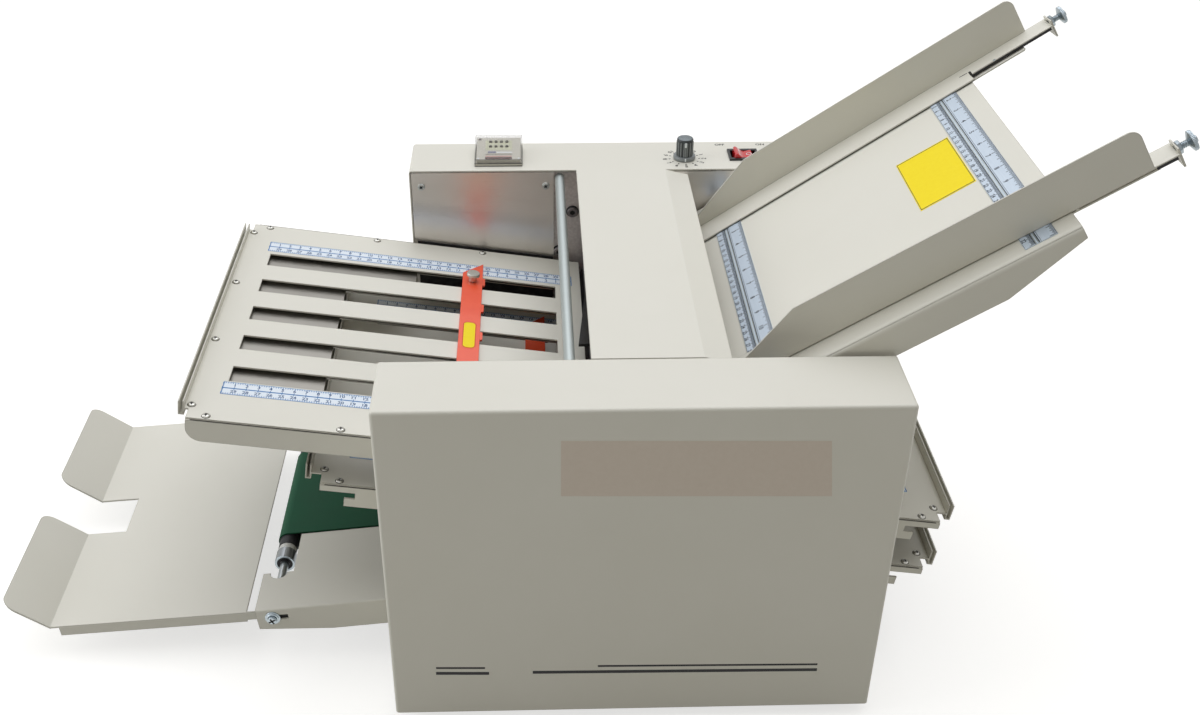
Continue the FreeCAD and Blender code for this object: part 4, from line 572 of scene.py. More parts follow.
def circuit_laminate_masked():
    """A control board: green solder mask over a lattice of copper tracks, with dark parts standing on it."""
    material, tree, place = started("circuit_laminate_masked")
    tracks = add(tree, "TexBrick", {
        "Vector": place, "Scale": 1.0, "Color1": linear("#0d4a2a"), "Color2": linear("#135a33"),
        "Mortar": linear("#2f7a3f"), "Mortar Size": 0.0006, "Brick Width": 0.011, "Row Height": 0.0045,
    })
    depth = add(tree, "SeparateXYZ", {"Vector": place}, "Y")
    raised = add(tree, "Math", {0: depth, 1: BOARD_FACE_Y * MM}, operation="GREATER_THAN")
    colour = add(tree, "MixRGB", {"Fac": raised, "Color1": tracks, "Color2": linear("#2a2a2c")})
    grain = add(tree, "TexNoise", {"Vector": place, "Scale": per_mm(1.5), "Detail": 2.0})
    return finished(material, Base_Color=colour, **grained(tree, grain, 0.15, 0.05, 0.28, 0.5))


cream_coat = powder_coat_sprayed("cream_coat_sprayed", "#e2e0d5", "#dcdacd", "#8f8979")
base_coat = powder_coat_sprayed("cream_coat_base", "#d9d7cb", "#cfcdc0", "#827d70")
liner_steel = steel_brushed("liner_steel_brushed", "#e0dcd8", "#d2cdc8", (12.0, 12.0, 2600.0), 0.27, 0.33)
sheet_steel = steel_brushed("sheet_steel_rolled", "#a5a29a", "#85827b", (14.0, 900.0, 900.0), 0.28, 0.46)
zinc = zinc_barrel_plated("zinc_barrel_plated", "#ccd5da", "#a3afb5")
pale_zinc = zinc_barrel_plated("zinc_barrel_plated_pale", "#d6d5cd", "#c2c1b8")
blue_zinc = zinc_barrel_plated("zinc_barrel_plated_blue", "#b4bdc1", "#7f898e")
dull_steel = steel_brushed("bolt_steel_forged", "#8f8988", "#767070", (900.0, 900.0, 900.0), 0.34, 0.5)
bar_steel = steel_bar_ground()
orange = gloss_paint_brushed()
black_rubber = rubber_moulded("rubber_moulded_black", "#1a1a1b", "#3a3937")
band_rubber = rubber_moulded("rubber_band_ground", "#222224", "#4b4a46")
belt = pvc_belt_woven()
fold_roller_skin = sleeved_roller("roller_sleeved_ground", 173.0, 173.4, 173.8)
idler_skin = sleeved_roller("idler_sleeved_ground", 77.0, 84.0, 97.0)
drive_skin = sleeved_roller("drive_roller_sleeved", 66.2, 66.4, 66.6)
feed_skin = sleeved_roller("feed_roller_sleeved", 30.0, 30.2, 30.4, "#54504a")
counter_plastic = plastic_moulded("counter_plastic_moulded", "#cfccc0", "#c3c0b3", 0.40)
key_plastic = plastic_moulded("key_plastic_moulded", "#b4b0a3", "#a8a497", 0.5)
black_plastic = plastic_moulded("plastic_black_moulded", "#161617", "#202021", 0.38)
collar_plastic = plastic_moulded("collar_plastic_moulded", "#8b9090", "#7d8282", 0.40)
# The knob's dark body: painted shade in the flutes between its ribs.
knob_flute_shade_plastic = plastic_moulded("knob_flute_shade_moulded", "#2a2f31", "#363b3d", 0.42)
cap_plastic = plastic_moulded("cap_plastic_moulded", "#727d80", "#646e71", 0.34, 0.2)
rocker_plastic = plastic_moulded("rocker_plastic_polished", "#c4161c", "#d8282c", 0.16, 0.6, 3.0)
finger_plastic = plastic_moulded("finger_plastic_moulded", "#131314", "#1c1c1d", 0.35)
clear_lid = acrylic_clear_moulded()
ruler_metal = aluminium_strip_printed()
pulley_metal = steel_brushed("aluminium_pulley_turned", "#d9dbdc", "#bfc2c4", (60.0, 1800.0, 60.0))
frame_enamel = hammered_enamel_sprayed()
motor_enamel = plastic_moulded("motor_enamel_sprayed", "#22262b", "#2c3137", 0.45, 0.2, 1.2)
board = circuit_laminate_masked()
scale_film = film_printed("scale_film_printed", "#e9f0f6", "#dfe9f2")
blue_ink = film_printed("ink_blue_screened", "#4b86bd", "#3f78b2")
deep_blue_ink = film_printed("ink_deep_blue_screened", "#3c5f8c", "#36567f")
dark_ink = film_printed("ink_dark_screened", "#1c2431", "#28313e")
black_ink = film_printed("ink_black_screened", "#0c0c0d", "#161617")
white_ink = film_printed("ink_white_screened", "#eef1f1", "#dfe4e6")
yellow_film = film_printed("label_film_yellow", "#fae300", "#f4da00", 0.40)
beige_film = film_printed("label_film_beige", "#ddd2c4", "#d8ccbd", 0.42)
orange_line = film_printed("ink_orange_screened", "#d8541c", "#cc4a16")
display_film = film_printed("display_film_red", "#3a0a0c", "#4d1011", 0.12)
rose_ink = film_printed("ink_rose_screened", "#c9918c", "#be8782")
grey_ink = film_printed("ink_grey_screened", "#756d66", "#6b645e")
slate_ink = film_printed("ink_slate_screened", "#797c92", "#70738a")
cap_ink = plastic_moulded("key_cap_plastic_moulded", "#4a4a3a", "#414132", 0.5)
field_plastic = plastic_moulded("field_plastic_moulded", "#d3d4b8", "#c8c9ad", 0.5)

FINISH = {
    name: finish for finish, names in (
        (base_coat, "base_plate"),
        (cream_coat, "near_cover far_cover feed_table out_tray near_guide far_guide conveyor_arm_near"
                     " conveyor_arm_far fold_plate_1 fold_plate_2 fold_plate_3 fold_plate_4"),
        (sheet_steel, "fold_plate_1_steel fold_plate_2_steel fold_plate_3_steel fold_plate_4_steel"),
        (orange, "stop_1 stop_2 stop_3 stop_4"),
        (zinc, "roller_bearings machine_screws near_thumb_screw far_thumb_screw"
               " stop_knob_1 stop_knob_2 stop_knob_3 stop_knob_4"),
        (fold_roller_skin, "fold_roller_1 fold_roller_2 fold_roller_3"
                           " fold_roller_4 fold_roller_5 fold_roller_6"),
        (frame_enamel, "near_side_frame far_side_frame"), (liner_steel, "cover_liners"),
        (bar_steel, "tie_bars"), (motor_enamel, "motor"), (pulley_metal, "motor_pulley"),
        (band_rubber, "drive_belts"),
        (black_rubber, "feet separator_block"), (feed_skin, "feed_roller"), (idler_skin, "conveyor_idler"),
        (drive_skin, "conveyor_drive"), (belt, "conveyor_belt"), (finger_plastic, "mouth_finger"),
        (ruler_metal, "table_rulers"), (counter_plastic, "counter_housing"), (clear_lid, "counter_lid"),
        (key_plastic, "counter_keys_back counter_keys_front"), (knob_flute_shade_plastic, "speed_knob"),
        (black_plastic, "switch_housing mains_inlet"), (rocker_plastic, "rocker"), (board, "control_board"),
    ) for name in names.split()
}
for name, thing in nodes.items():
    thing.data.materials.clear()
    thing.data.materials.append(FINISH[name])


# ---------------------------------------------------------------- fold plates


def scale_strip(number, side):
    """A printed scale along a plate: film, border lines, a middle line, ticks and two rows of centimetres."""
    low, high = (118.5, 137.5) if side == "far" else (-133.4, -114.8)
    way = outward(number)
    start, end = PLATE_LENGTH[number] - 21.0, 9.0
    x0, x1 = sorted((way * start, way * end))
    film_top, middle = 0.15, (low + high) / 2
    lines = [(x0, y - w, x1, y + w) for y, w in ((low + 0.4, 0.3), (middle, 0.7), (high - 0.4, 0.3))]
    lines += [(x - 0.4, low, x + 0.4, high) for x in (x0 + 0.4, x1 - 0.4)]
    count = int((start - end) // 2)
    reach = [(1, 1.7), (5, 3.0)]
    rows = [
        ticks(way * start, -way * step, many, base, lengths, 0.6)
        for step, many, base, lengths in (
            (2.0, count, high - 0.8, [(i, -r) for i, r in reach]), (2.0, count, low + 0.8, reach),
            (10.0, count // 5, middle, [(1, 2.4)]), (10.0, count // 5, middle, [(1, -2.4)]),
        )
    ]
    words = []
    for n in range(1, count // 5):
        x = way * (start - 10.0 * n)
        words += [(str(n), x, middle + 4.6, 5.4, 0), (str(count // 5 - n), x, middle - 4.6, 5.4, 0)]
    for kind, drawing, finish in (
        ("film", prism(box(x0, low, x1, high), 0.0, film_top), scale_film),
        ("lines", bars(np.concatenate([lines, *rows]), film_top + INK_LIFT), blue_ink),
        ("numbers", lettering(words, film_top + INK_LIFT), deep_blue_ink),
    ):
        put(f"scale_{kind}_{number}_{side}", f"fold_plate_{number}", "aluminium", finish, plate_face(number),
            drawing)


def plate_screw_heads(number):
    """Cross recessed heads over the plate's fixings: two rows along its edges and one across its end."""
    way, length = outward(number), PLATE_LENGTH[number]
    last, pitch, edge = length - 15.8, 109.5, PLATE_HALF - 6
    spots = [(last - n * pitch, y) for n in range(int(last // pitch) + 1) for y in (edge, -edge)]
    spots += [(length - 1.5, n * SLOT_PITCH) for n in (-3, -1, 1, 3)]
    heads = [moved(cross_head(3.25, 1.9), way * s, y) for s, y in spots]
    # Painted shade: a dark cross in each recess and a thin dark ring round the foot of each head.
    marks = [moved(cross_mark(2.8, 1.92, 0.6 * n), way * s, y) for n, (s, y) in enumerate(spots)]
    seat = turned([(3.2, 0.0), (3.7, 0.0), (3.7, 0.08), (3.2, 0.08)], 32)
    marks += [moved(seat, way * s, y) for s, y in spots]
    body, where = f"fold_plate_{number}", plate_face(number)
    put(f"plate_{number}_screw_heads", body, "plated_steel", pale_zinc, where, *heads, smooth=35, weld=True)
    put(f"plate_{number}_screw_shades", body, "plated_steel", black_ink, where, *marks)


def plate_seams(number):
    """Painted shadow: black strips for the shadow gap under the top sheet, along both of its folded sides."""
    way, slim, low = outward(number), 0.06, -1.3
    x0, x1 = sorted((way * 6.0, way * (PLATE_LENGTH[number] - 4.0)))
    gaps = [prism(box(x0, y - slim, x1, y + slim), low, low + 0.7) for y in (-PLATE_HALF, PLATE_HALF)]
    put(f"plate_{number}_shadow_gaps", f"fold_plate_{number}", "cream_paint", black_ink, plate_face(number), *gaps)


def stop_details(number):
    """The bar's bent tabs at the slots, its label, and the knurled knob that clamps it."""
    way, place = outward(number), STOP_PLACE[number]
    body, where, x = f"stop_{number}", plate_face(number), way * place
    inner = way * (place - 10.0)
    x0, x1 = sorted((inner + way * 0.5, inner - way * 2.6))
    tabs = [
        prism(rounded(x0, y - 7.0, x1, y + 7.0, 1.2, 3), 0.35, 2.25, 0.3)
        for y in SLOT_PITCH * np.arange(-2, 3)
    ]
    put(f"stop_tabs_{number}", body, "orange_paint", orange, where, *tabs, smooth=30)
    outline, film_top = rounded(x - 6.3, -23.4, x + 6.3, 22.2, 4.6), 2.45
    put(f"stop_label_{number}", body, "orange_paint", yellow_film, where, prism(outline, 2.3, film_top))
    line = band(outline, rounded(x - 5.4, -22.5, x + 5.4, 21.3, 3.8), film_top + INK_LIFT)
    put(f"stop_label_line_{number}", body, "orange_paint", orange_line, where, line)
    seat = 2.6
    profile = [
        (0, 0.35), (2.5, 0.35), (2.5, seat), (4.2, seat), (4.0, seat + 5.2), (5.8, seat + 5.4),
        (6.4, seat + 5.9), (6.4, seat + 8.5), (6.0, seat + 9.0), (0, seat + 9.1),
    ]
    grip = moved(turned(profile, 176, knurl(0.22, 6, 7)), x, 2 * SLOT_PITCH)
    put(f"stop_knob_piece_{number}", f"stop_knob_{number}", "plated_steel", pale_zinc, where, grip, smooth=40,
        weld=True, replaces=[f"stop_knob_{number}"])


for n in PLATE_LENGTH:
    scale_strip(n, "far")
    scale_strip(n, "near")
    plate_screw_heads(n)
    plate_seams(n)
    stop_details(n)


# ---------------------------------------------------------------- feed table


def table_scales():
    """Ink on both ruler strips: millimetres and centimetres below the groove, inches above it."""
    dark, words, ribs = [], [], []
    zero, inch_zero, inch = -165.0, -165.1, 25.4
    inch_lines = [(1, -2.4), (2, -3.0), (4, -3.8), (8, -4.8), (16, -6.0)]
    for start in RULER_STARTS:
        dark.append(ticks(zero, 1.0, 331, start + 8.6, [(1, -2.6), (5, -3.4), (10, -4.4)], 0.52))
        dark.append(ticks(inch_zero, inch / 16, 209, start + 26.6, inch_lines, 0.7))
        words += [(str(n), zero + 10 * n, start + 2.3, 5.0, 0) for n in range(1, 33)]
        words += [(str(n), inch_zero + inch * n, start + 17.4, 6.4, 0) for n in range(1, 13)]
        edges = [(0.2, 0.45), (8.5, 9.0), (12.0, 12.7), (13.5, 13.8), (26.6, 26.85)]
        dark.append([(0.2 - RULER_HALF, start + low, RULER_HALF - 0.2, start + high) for low, high in edges])
        for y in (start + 9.5, start + 11.5):
            rib = rounded(-RULER_HALF + 0.2, y - 0.35, RULER_HALF - 0.2, y + 0.35, 0.2, 3)
            ribs.append(prism(rib, RULER_TOP - 0.4, RULER_TOP - 0.02, 0.15))
    level = RULER_TOP + INK_LIFT
    ink = ("machine", "aluminium", dark_ink, TABLE_FACE)
    put("table_scale_lines", *ink, bars(np.concatenate(dark), level))
    put("table_scale_numbers", *ink, lettering(words, level))
    put("ruler_ribs", "machine", "aluminium", bar_steel, TABLE_FACE, *ribs, smooth=30)


def table_label():
    """The plain yellow label on the table, with a thin line round it."""
    outline, film_top = np.array([(-51.2, 178.8), (41.2, 178.8), (39.6, 230.6), (-52.8, 230.4)]), 0.18
    film = prism(outline, 0.0, film_top)
    put("table_label", "machine", "cream_paint", yellow_film, TABLE_FACE, film)
    middle = outline.mean(0)
    line = band(*[middle + (outline - middle) * share for share in (0.975, 0.955)], film_top + INK_LIFT)
    put("table_label_line", "machine", "cream_paint", dark_ink, TABLE_FACE, line)


def thumb_screw(side):
    """A zinc thumb screw along the guide: threaded stem, nut, knurled head and its stub.

    The thread is rings: the stem's radius swings by a cosine of the height, one swing for each pitch.
    """
    foot, _, across = guide_ways(side)
    level, beside, normal, pitch = 2.1, {"near": 10.5, "far": -10.5}[side], Vector(TABLE_NORMAL), 1.5
    where = face(foot + normal * level + across * beside, across, normal)
    start, nut = GUIDE_SCREW_AT + 0.3, GUIDE_SCREW_AT + 1.8
    nut_top = nut + 3
    head = nut_top + 5.5
    thread = [
        (2.75 + 0.25 * math.cos(2 * math.pi * h / pitch), h) for h in np.linspace(nut_top, head + 1, 60)
    ]
    stem = turned([(0, start), (3.0, start), (3.0, nut)] + thread + [(0, head + 1)], 32)
    corner = np.arange(6) * math.pi / 3
    hexagon = prism(5.6 * np.stack([np.cos(corner), np.sin(corner)], 1), nut, nut_top, 0.5)
    rises = [
        (0, 0), (3.6, 0), (4.4, 0.4), (7.4, 1.6), (8.5, 2.2), (8.5, 4.4), (8.0, 5.0), (5.6, 5.3), (3.0, 5.4),
        (3.0, 6.6), (2.6, 7.0), (0, 7.0),
    ]
    grip = turned([(r, head + rise) for r, rise in rises], 176, knurl(0.3, 4, 5))
    name = f"{side}_thumb_screw"
    put(f"{name}_piece", name, "plated_steel", blue_zinc, where, stem, hexagon, grip, smooth=30, weld=True,
        replaces=[name])


table_scales()
table_label()
for side in GUIDES:
    thumb_screw(side)


# ---------------------------------------------------------------- covers and controls


def front_labels():
    """The plain beige sticker and the four stripes on the operator's cover."""
    film = prism([(-63.6, 251.4), (150.3, 247.3), (144.3, 301.3), (-63.6, 304.9)], 0.0, 0.14)
    put("front_sticker", "machine", "cream_paint", beige_film, COVER_FRONT, film)
    stripes = [
        prism([(xa, za - half), (xb, zb - half), (xb, zb + half), (xa, za + half)], 0.0, 0.08)
        for (xa, za), (xb, zb), half in (
            ((-170.3, 65.8), (-128.5, 64.7), 1.05), ((-170.6, 59.4), (-125.2, 58.2), 1.7),
            ((-87.7, 58.5), (158.5, 55.3), 1.7), ((-31.8, 64.6), (158.2, 61.8), 1.05),
        )
    ]
    put("front_stripes", "machine", "cream_paint", black_ink, COVER_FRONT, *stripes)


def speed_dial():
    """Eleven marks and their numbers on an arc round the knob, and the two words at the switch."""
    marks, words = [], []
    for n in range(11):
        angle = math.radians(128 + 28.6 * n)
        way = np.array([math.cos(angle), math.sin(angle)])
        side = np.array([-way[1], way[0]]) * 0.6
        a, b = way * 14.4 + KNOB, way * 16.4 + KNOB
        marks.append(prism([a - side, b - side, b + side, a + side], 0.0, 0.05))
        words.append((str(10 - n), *(way * 20.4 + KNOB), 6.6, math.degrees(angle) + 90))
    ink = ("machine", "cream_paint", black_ink, COVER_TOP)
    put("dial_marks", *ink, *marks)
    put("dial_numbers", *ink, lettering(words))
    put("switch_words", *ink, lettering([("OFF", 115.6, 237.0, 6.0, 0), ("ON", 158.4, 237.0, 6.0, 0)]))


def knob():
    """The speed knob: a grey collar, a body with grey ribs, black between them as painted shade in the
    flutes, a domed cap and a white pointer line.
    """
    centre = (*KNOB, BODY_TOP)
    where = flat_at(*centre)
    collar = [(0, 0.5), (11.2, 0.5), (11.4, 0.9), (11.4, 3.2), (10.9, 4.0), (9.0, 4.3), (0, 4.3)]
    body = [(0, 4.0), (8.35, 4.0), (8.2, 20.6), (8.5, 20.8), (8.4, 21.6), (7.7, 22.6), (0, 22.6)]
    dome = [(7.5 * s, 22.6 + 0.8 * math.sqrt(1 - s * s)) for s in np.linspace(1, 0, 9)]
    rib = prism(rounded(7.9, -0.62, 8.85, 0.62, 0.4, 4), 4.2, 19.8, 0.35)
    ways = [2 * math.pi * (n + 0.5) / 16 - math.pi / 2 for n in range(16)]
    spokes = [face(centre, (math.cos(a), math.sin(a), 0), (-math.sin(a), math.cos(a), 0)) for a in ways]
    ribs = [(*rib, spoke) for spoke in spokes]
    line = prism(rounded(-0.75, -9.15, 0.75, -8.2, 0.25, 3), 4.3, 19.9)
    pointer = prism(rounded(-0.95, -9.3, 0.95, -8.2, 0.25, 3), 15.6, 20.3)
    foot = prism(rounded(-0.7, -11.5, 0.7, -9.4, 0.2, 3), 0.9, 4.05, 0.3)
    round_part = {"smooth": 32, "weld": True}
    for name, finish, drawings, given in (
        ("collar", collar_plastic, [turned(collar, 96)], {**round_part, "replaces": ["speed_knob"]}),
        ("body", knob_flute_shade_plastic, [turned(body, 96)], round_part),
        ("ribs", collar_plastic, ribs, {"smooth": 32}),
        ("cap", cap_plastic, [turned([(0, 22.2), (7.5, 22.2)] + dome, 64)], {"smooth": 40, "weld": True}),
        ("line", collar_plastic, [line], {}),
        ("pointer", white_ink, [pointer], {}),
        ("collar_line", white_ink, [foot], {}),
    ):
        put(f"knob_{name}", "speed_knob", "grey_plastic", finish, where, *drawings, **given)


def pierced(left, right, front, back, lean=1.0, rim=0.0):
    """The grid of a sheet with a square hole for every key.

    The grid's lines are the sheet's edges and each hole's edges, so the cells whose column and row
    are both odd are open. Gives the points' places on the sheet's top and underside, whose outer
    lines lie a rim inside, then the quads, and the border of the top as a loop. lean shortens y.
    """
    holes_x = [x + way for x in KEY_X for way in (-KEY_HOLE, KEY_HOLE)]
    holes_y = [lean * (y + way) for y in KEY_ROWS.values() for way in (-KEY_HOLE, KEY_HOLE)]
    top = np.stack(np.meshgrid([left, *holes_x, right], [front, *holes_y, back], indexing="ij"), 2)
    under = np.clip(top, (left + rim, front + rim), (right - rim, back - rim))
    columns, rows = top.shape[:2]
    count = columns * rows
    index = np.arange(count).reshape(columns, rows)
    faces = []
    for i, j in np.ndindex(columns - 1, rows - 1):
        loop = index[i:i + 2, j:j + 2].ravel()[[0, 2, 3, 1]].tolist()
        if i % 2 and j % 2:
            faces += [[p, q, q + count, p + count] for p, q in zip(loop, loop[1:] + loop[:1])]
        else:
            faces += [loop, [n + count for n in reversed(loop)]]
    border = np.concatenate([index[:, 0], index[-1, 1:], index[-2::-1, -1], index[0, -2:0:-1]])
    return top.reshape(-1, 2), under.reshape(-1, 2), faces, border


def counter_face():
    """The counter's sloping face under its lid: an open box turned upside down, with holes for the keys.

    Its top lies at height 3 + 0.157 y and its underside 0.8 mm lower. Quads run from the top's
    border down to the foot, across the wall's 0.8 mm, and up again to the underside's border.
    """
    wall, foot_level = 0.8, 0.02
    top, under, faces, border = pierced(-22.3, 22.3, 1.9, 42.6, 1 / math.hypot(1, COUNTER_SLOPE), wall)
    count, around = len(top), len(border)
    points = np.concatenate([
        np.c_[top, COUNTER_RISE + COUNTER_SLOPE * top[:, 1]],
        np.c_[under, COUNTER_RISE + COUNTER_SLOPE * under[:, 1] - wall],
        np.c_[np.concatenate([top[border], under[border]]), np.full(2 * around, foot_level)],
    ])
    feet = 2 * count + np.arange(2 * around).reshape(2, around)
    faces += strips(np.array([border, *feet, border + count])[:, ::-1])
    where = flat_at(*COUNTER, BODY_TOP + COUNTER_STEP)
    put("counter_face", "machine", "pale_plastic", counter_plastic, where, (points, faces))


def counter_details():
    """What shows through the counter's lid: a dark window, caption bars, a key field and two rows of keys."""
    where = flat_at(*COUNTER, BODY_TOP + COUNTER_STEP + COUNTER_RISE, COUNTER_SLOPE)
    window = prism(rounded(-13.6, 2.7, 13.6, 6.9, 0.4, 3), 0.0, 0.25)
    put("counter_window", "machine", "red_plastic", display_film, where, window)
    for name, outline, ink in (
        ("rose_line", (-13.4, 7.8, 13.4, 9.7), rose_ink), ("grey_line", (-13.4, 11.9, 14.0, 13.3), grey_ink),
        ("caption", (-11.0, 14.5, -2.8, 18.0), slate_ink), ("pale_line", (-2.0, 14.9, 14.0, 17.0), white_ink),
    ):
        put(f"counter_{name}", "machine", "pale_plastic", ink, where, bars([outline]))
    top, under, faces, border = pierced(-13.6, 14.0, 20.2, 38.2)
    faces += strips(np.array([border, border + len(top)])[:, ::-1])
    points = np.concatenate([np.c_[top, np.full(len(top), 0.12)], np.c_[under, np.zeros(len(top))]])
    put("counter_key_field", "machine", "pale_plastic", field_plastic, where, (points, faces))
    # The two bosses in white ink are painted highlights.
    boss = turned([(0, 0), (1.3, 0), (1.3, 0.4), (1.1, 0.6), (0, 0.6)], 24)
    bosses = [moved(boss, x, 4.4) for x in (-20.7, 20.7)]
    put("counter_boss_highlights", "machine", "pale_plastic", white_ink, where, *bosses, smooth=30, weld=True)
    screw = moved(cross_head(1.6, 0.9), -19.6, 40.4)
    put("counter_screw", "machine", "plated_steel", dull_steel, where, screw, smooth=35, weld=True)
    square = rounded(-KEY_HALF, -KEY_HALF, KEY_HALF, KEY_HALF, 0.5, 3)
    for row, y in KEY_ROWS.items():
        caps = [prism(square + (x, y), -1.7, 1.15, 0.2) for x in KEY_X]
        put(f"key_caps_{row}", f"counter_keys_{row}", "pale_plastic", cap_ink, where, *caps, smooth=30)
    # Black bands round the housing's foot and under the lid's rim: painted shadow lines.
    out, rim, front, depth = 24.4, 23.75, 0.5, 44.5
    sides = [box(-out, -0.15, out, front), box(-out, front, -rim, depth), box(rim, front, out, depth)]
    shade_lines = [prism(side, low, high) for low, high in ((0.0, 0.75), (2.75, 3.2)) for side in sides]
    put("counter_shade_lines", "machine", "black_rubber", black_rubber, flat_at(*COUNTER, BODY_TOP), *shade_lines)


def rocker():
    """The rocker: a raised lobe, a dip and a low lobe, swept across the switch, with a ring and a bar on it.

    Towards each end the section draws in by 1.3 * (1 - sqrt(1 - w^2)) mm, where w rises from 0 to 1
    over the last 1.2 mm, so the ends are rounded.
    """
    loop_x = np.array([-10.3, -9.6, -8.2, -6.6, -5.0, -3.0, -1.0, 1.0, 3.0, 6.0, 8.6, 9.8, 10.3, 10.2, -10.2])
    loop_z = np.array([1.4, 5.4, 6.4, 6.0, 4.7, 2.9, 1.7, 1.3, 1.4, 1.9, 2.2, 1.2, -0.6, -5.2, -5.2])
    stations = np.array([-1, -0.985, -0.94, -0.88, -0.5, 0, 0.5, 0.88, 0.94, 0.985, 1.0])
    fall = np.clip((np.abs(stations) - 0.88) / 0.12, 0, 1)
    shrink = 1.3 * (1 - np.sqrt(1 - fall ** 2))[:, None]
    middle_z, half = -1.0, 10.0
    reach = np.hypot(loop_x, loop_z - middle_z)
    x = loop_x - loop_x / reach * shrink
    z = loop_z - (loop_z - middle_z) / reach * shrink
    y = np.repeat(stations[:, None] * half, len(loop_x), 1)
    index = np.arange(x.size).reshape(x.shape)
    beside = np.roll(index, -1, 1)
    faces = np.stack([index[:-1], index[1:], beside[1:], beside[:-1]], 2).reshape(-1, 4).tolist()
    faces += [index[0].tolist(), index[-1].tolist()[::-1]]
    put("rocker_cap", "rocker", "red_plastic", rocker_plastic, flat_at(*SWITCH, BODY_TOP),
        (np.stack([x, y, z], 2).reshape(-1, 3), faces), smooth=40, replaces=["rocker"])
    angles = np.linspace(0, 2 * math.pi, 32, endpoint=False)
    circle = np.stack([np.cos(angles), np.sin(angles)], 1)
    for name, x, rise, slope, mark in (
        ("ring", 5.8, 1.9, 0.8 / 5.6, band(circle * 2.9, circle * 2.2, INK_LIFT * 2)),
        ("bar", -4.8, 4.53, -3.1 / 3.6, bars([(-0.35, -2.8, 0.35, 2.8)], 0.14)),
    ):
        where = face((SWITCH[0] + x, SWITCH[1], BODY_TOP + rise), (1, 0, slope), (0, 1, 0))
        put(f"rocker_{name}", "rocker", "red_plastic", white_ink, where, mark)


def inlet_blades():
    """The three plated blades in the mains inlet."""
    blades = [
        prism(rounded(x - 1.15, z - 2.15, x + 1.15, z + 2.15, 0.4, 3), -19.8, -1.7, 0.4)
        for x, z in ((-143.0, 52.0), (-150.0, 55.0), (-157.0, 52.0))
    ]
    put("inlet_blades", "machine", "plated_steel", zinc, COVER_BACK, *blades, smooth=30)


def frame_screw_heads():
    """Dull steel socket heads on the side frames, over their fixings, with a black ring under each as painted
    shadow and a black socket floor as painted shade, and the zinc heads that hold the liners, with painted
    shade in their cross recesses.

    The socket is a hexagon: its ripple takes off flat (1 - cos 30 / cos a), with a from a flat's middle.
    """
    flat, sixth = 2.9, math.pi / 3

    def socket(angle, step):
        off = (angle + sixth / 2) % sixth - sixth / 2
        return flat * (1 - math.cos(sixth / 2) / np.cos(off)) * ((step >= 4) & (step <= 5))

    head = turned([(0, 0), (5.4, 0), (5.4, 3.4), (4.9, 4.1), (flat, 4.1), (flat, 3.1), (0, 3.1)], 36, socket)
    washer = turned([(0, 0), (6.6, 0), (6.6, 0.7), (6.3, 1.0), (0, 1.0)], 40)
    floor = turned([(flat, 3.16), (0, 3.16)], 36)
    places = (-41.5, 285.0), (-55.7, 239.0)
    spots = [wall_at(x, side * FRAME_Y, z, side) for side in (-1, 1) for x, z in places]
    put("frame_screw_heads", "machine", "plated_steel", dull_steel, spots, head, smooth=30, weld=True)
    # Painted shadow under each head and painted shade in each socket.
    put("frame_screw_shadows", "machine", "black_plastic", black_plastic, spots, washer, smooth=30, weld=True)
    put("frame_socket_shades", "machine", "black_plastic", black_ink, spots, floor, weld=True)
    places = (-196.0, -69.0, 196.0, 117.0)
    spots = [wall_at(x, side * INNER_Y, 316.0, side) for side in (-1, 1) for x in places]
    head, mark = cross_head(3.75, 2.6), cross_mark(4.0, 2.64, 0.7)
    put("liner_screw_heads", "machine", "plated_steel", pale_zinc, spots, head, smooth=35, weld=True)
    put("liner_screw_shades", "machine", "plated_steel", black_ink, spots, mark)


def liner_parts():
    """Black pads on the liners beside the fold plates, painted shade for the dark seen through the plates'
    slots and in the gap along their edges, and steel strips from the bridge to the table.
    """
    liners = [(name, side, wall_at(0, side * LINER_Y, 0, side)) for name, side in (("near", -1), ("far", 1))]
    for name, side, where in liners:
        x0, x1 = sorted((side * -203.0, side * -62.0))
        top0, top1 = (plate_height(1, side * x) for x in (x0, x1))
        shade_pad = prism([(x0, 120.0), (x1, 120.0), (x1, top1), (x0, top0)], -0.8, 0.0)
        put(f"liner_shade_pad_{name}", "machine", "black_rubber", black_rubber, where, shade_pad, smooth=30)
    for name, side, where in liners:
        x0, x1 = sorted((side * 36.0, side * 105.4))
        strip = prism(rounded(x0, 236.0, x1, BODY_TOP - 2.0, 1.0, 3), -0.7, 0.0)
        put(f"liner_strip_{name}", "machine", "steel", liner_steel, where, strip, smooth=30)


def tension_screws():
    """The screws that tighten the belt: washer, ring and head, with painted shade in each cross recess and
    round each head's foot, and a dark block behind each slot as painted shade for the shaded inside seen
    through it.
    """
    spots = [wall_at(IDLER_X, side * 170.0, IDLER_Z, -side) for side in (-1, 1)]
    washer = turned([(0, 0), (7.0, 0), (7.0, 1.0), (6.7, 1.35), (0, 1.35)])
    ring = turned([(0, 1.3), (5.9, 1.3), (5.9, 2.1), (5.5, 2.6), (4.4, 2.6), (4.2, 2.2), (0, 2.2)], 40)
    head = turned([(0, 2.2), (3.7, 2.2), (3.7, 4.6), (3.3, 5.1), (0, 5.2)], 32)
    put("tension_screws", "machine", "plated_steel", zinc, spots, washer, ring, head, smooth=35, weld=True)
    marks = cross_mark(6.4, 5.26, 0.5), turned([(3.7, 2.25), (4.5, 2.25), (4.5, 2.32), (3.7, 2.32)], 40)
    put("tension_screw_shades", "machine", "plated_steel", black_ink, spots, *marks)
    # Dark blocks seen through the slots: painted shade for the shaded inside.
    starts = (-9.0, -24.0)
    slot_shades = [(*prism(box(x, -7.5, x + 33.0, 6.5), -4.4, -1.9), spot) for x, spot in zip(starts, spots)]
    put("tension_slot_shades", "machine", "black_plastic", black_rubber, None, *slot_shades, smooth=30)


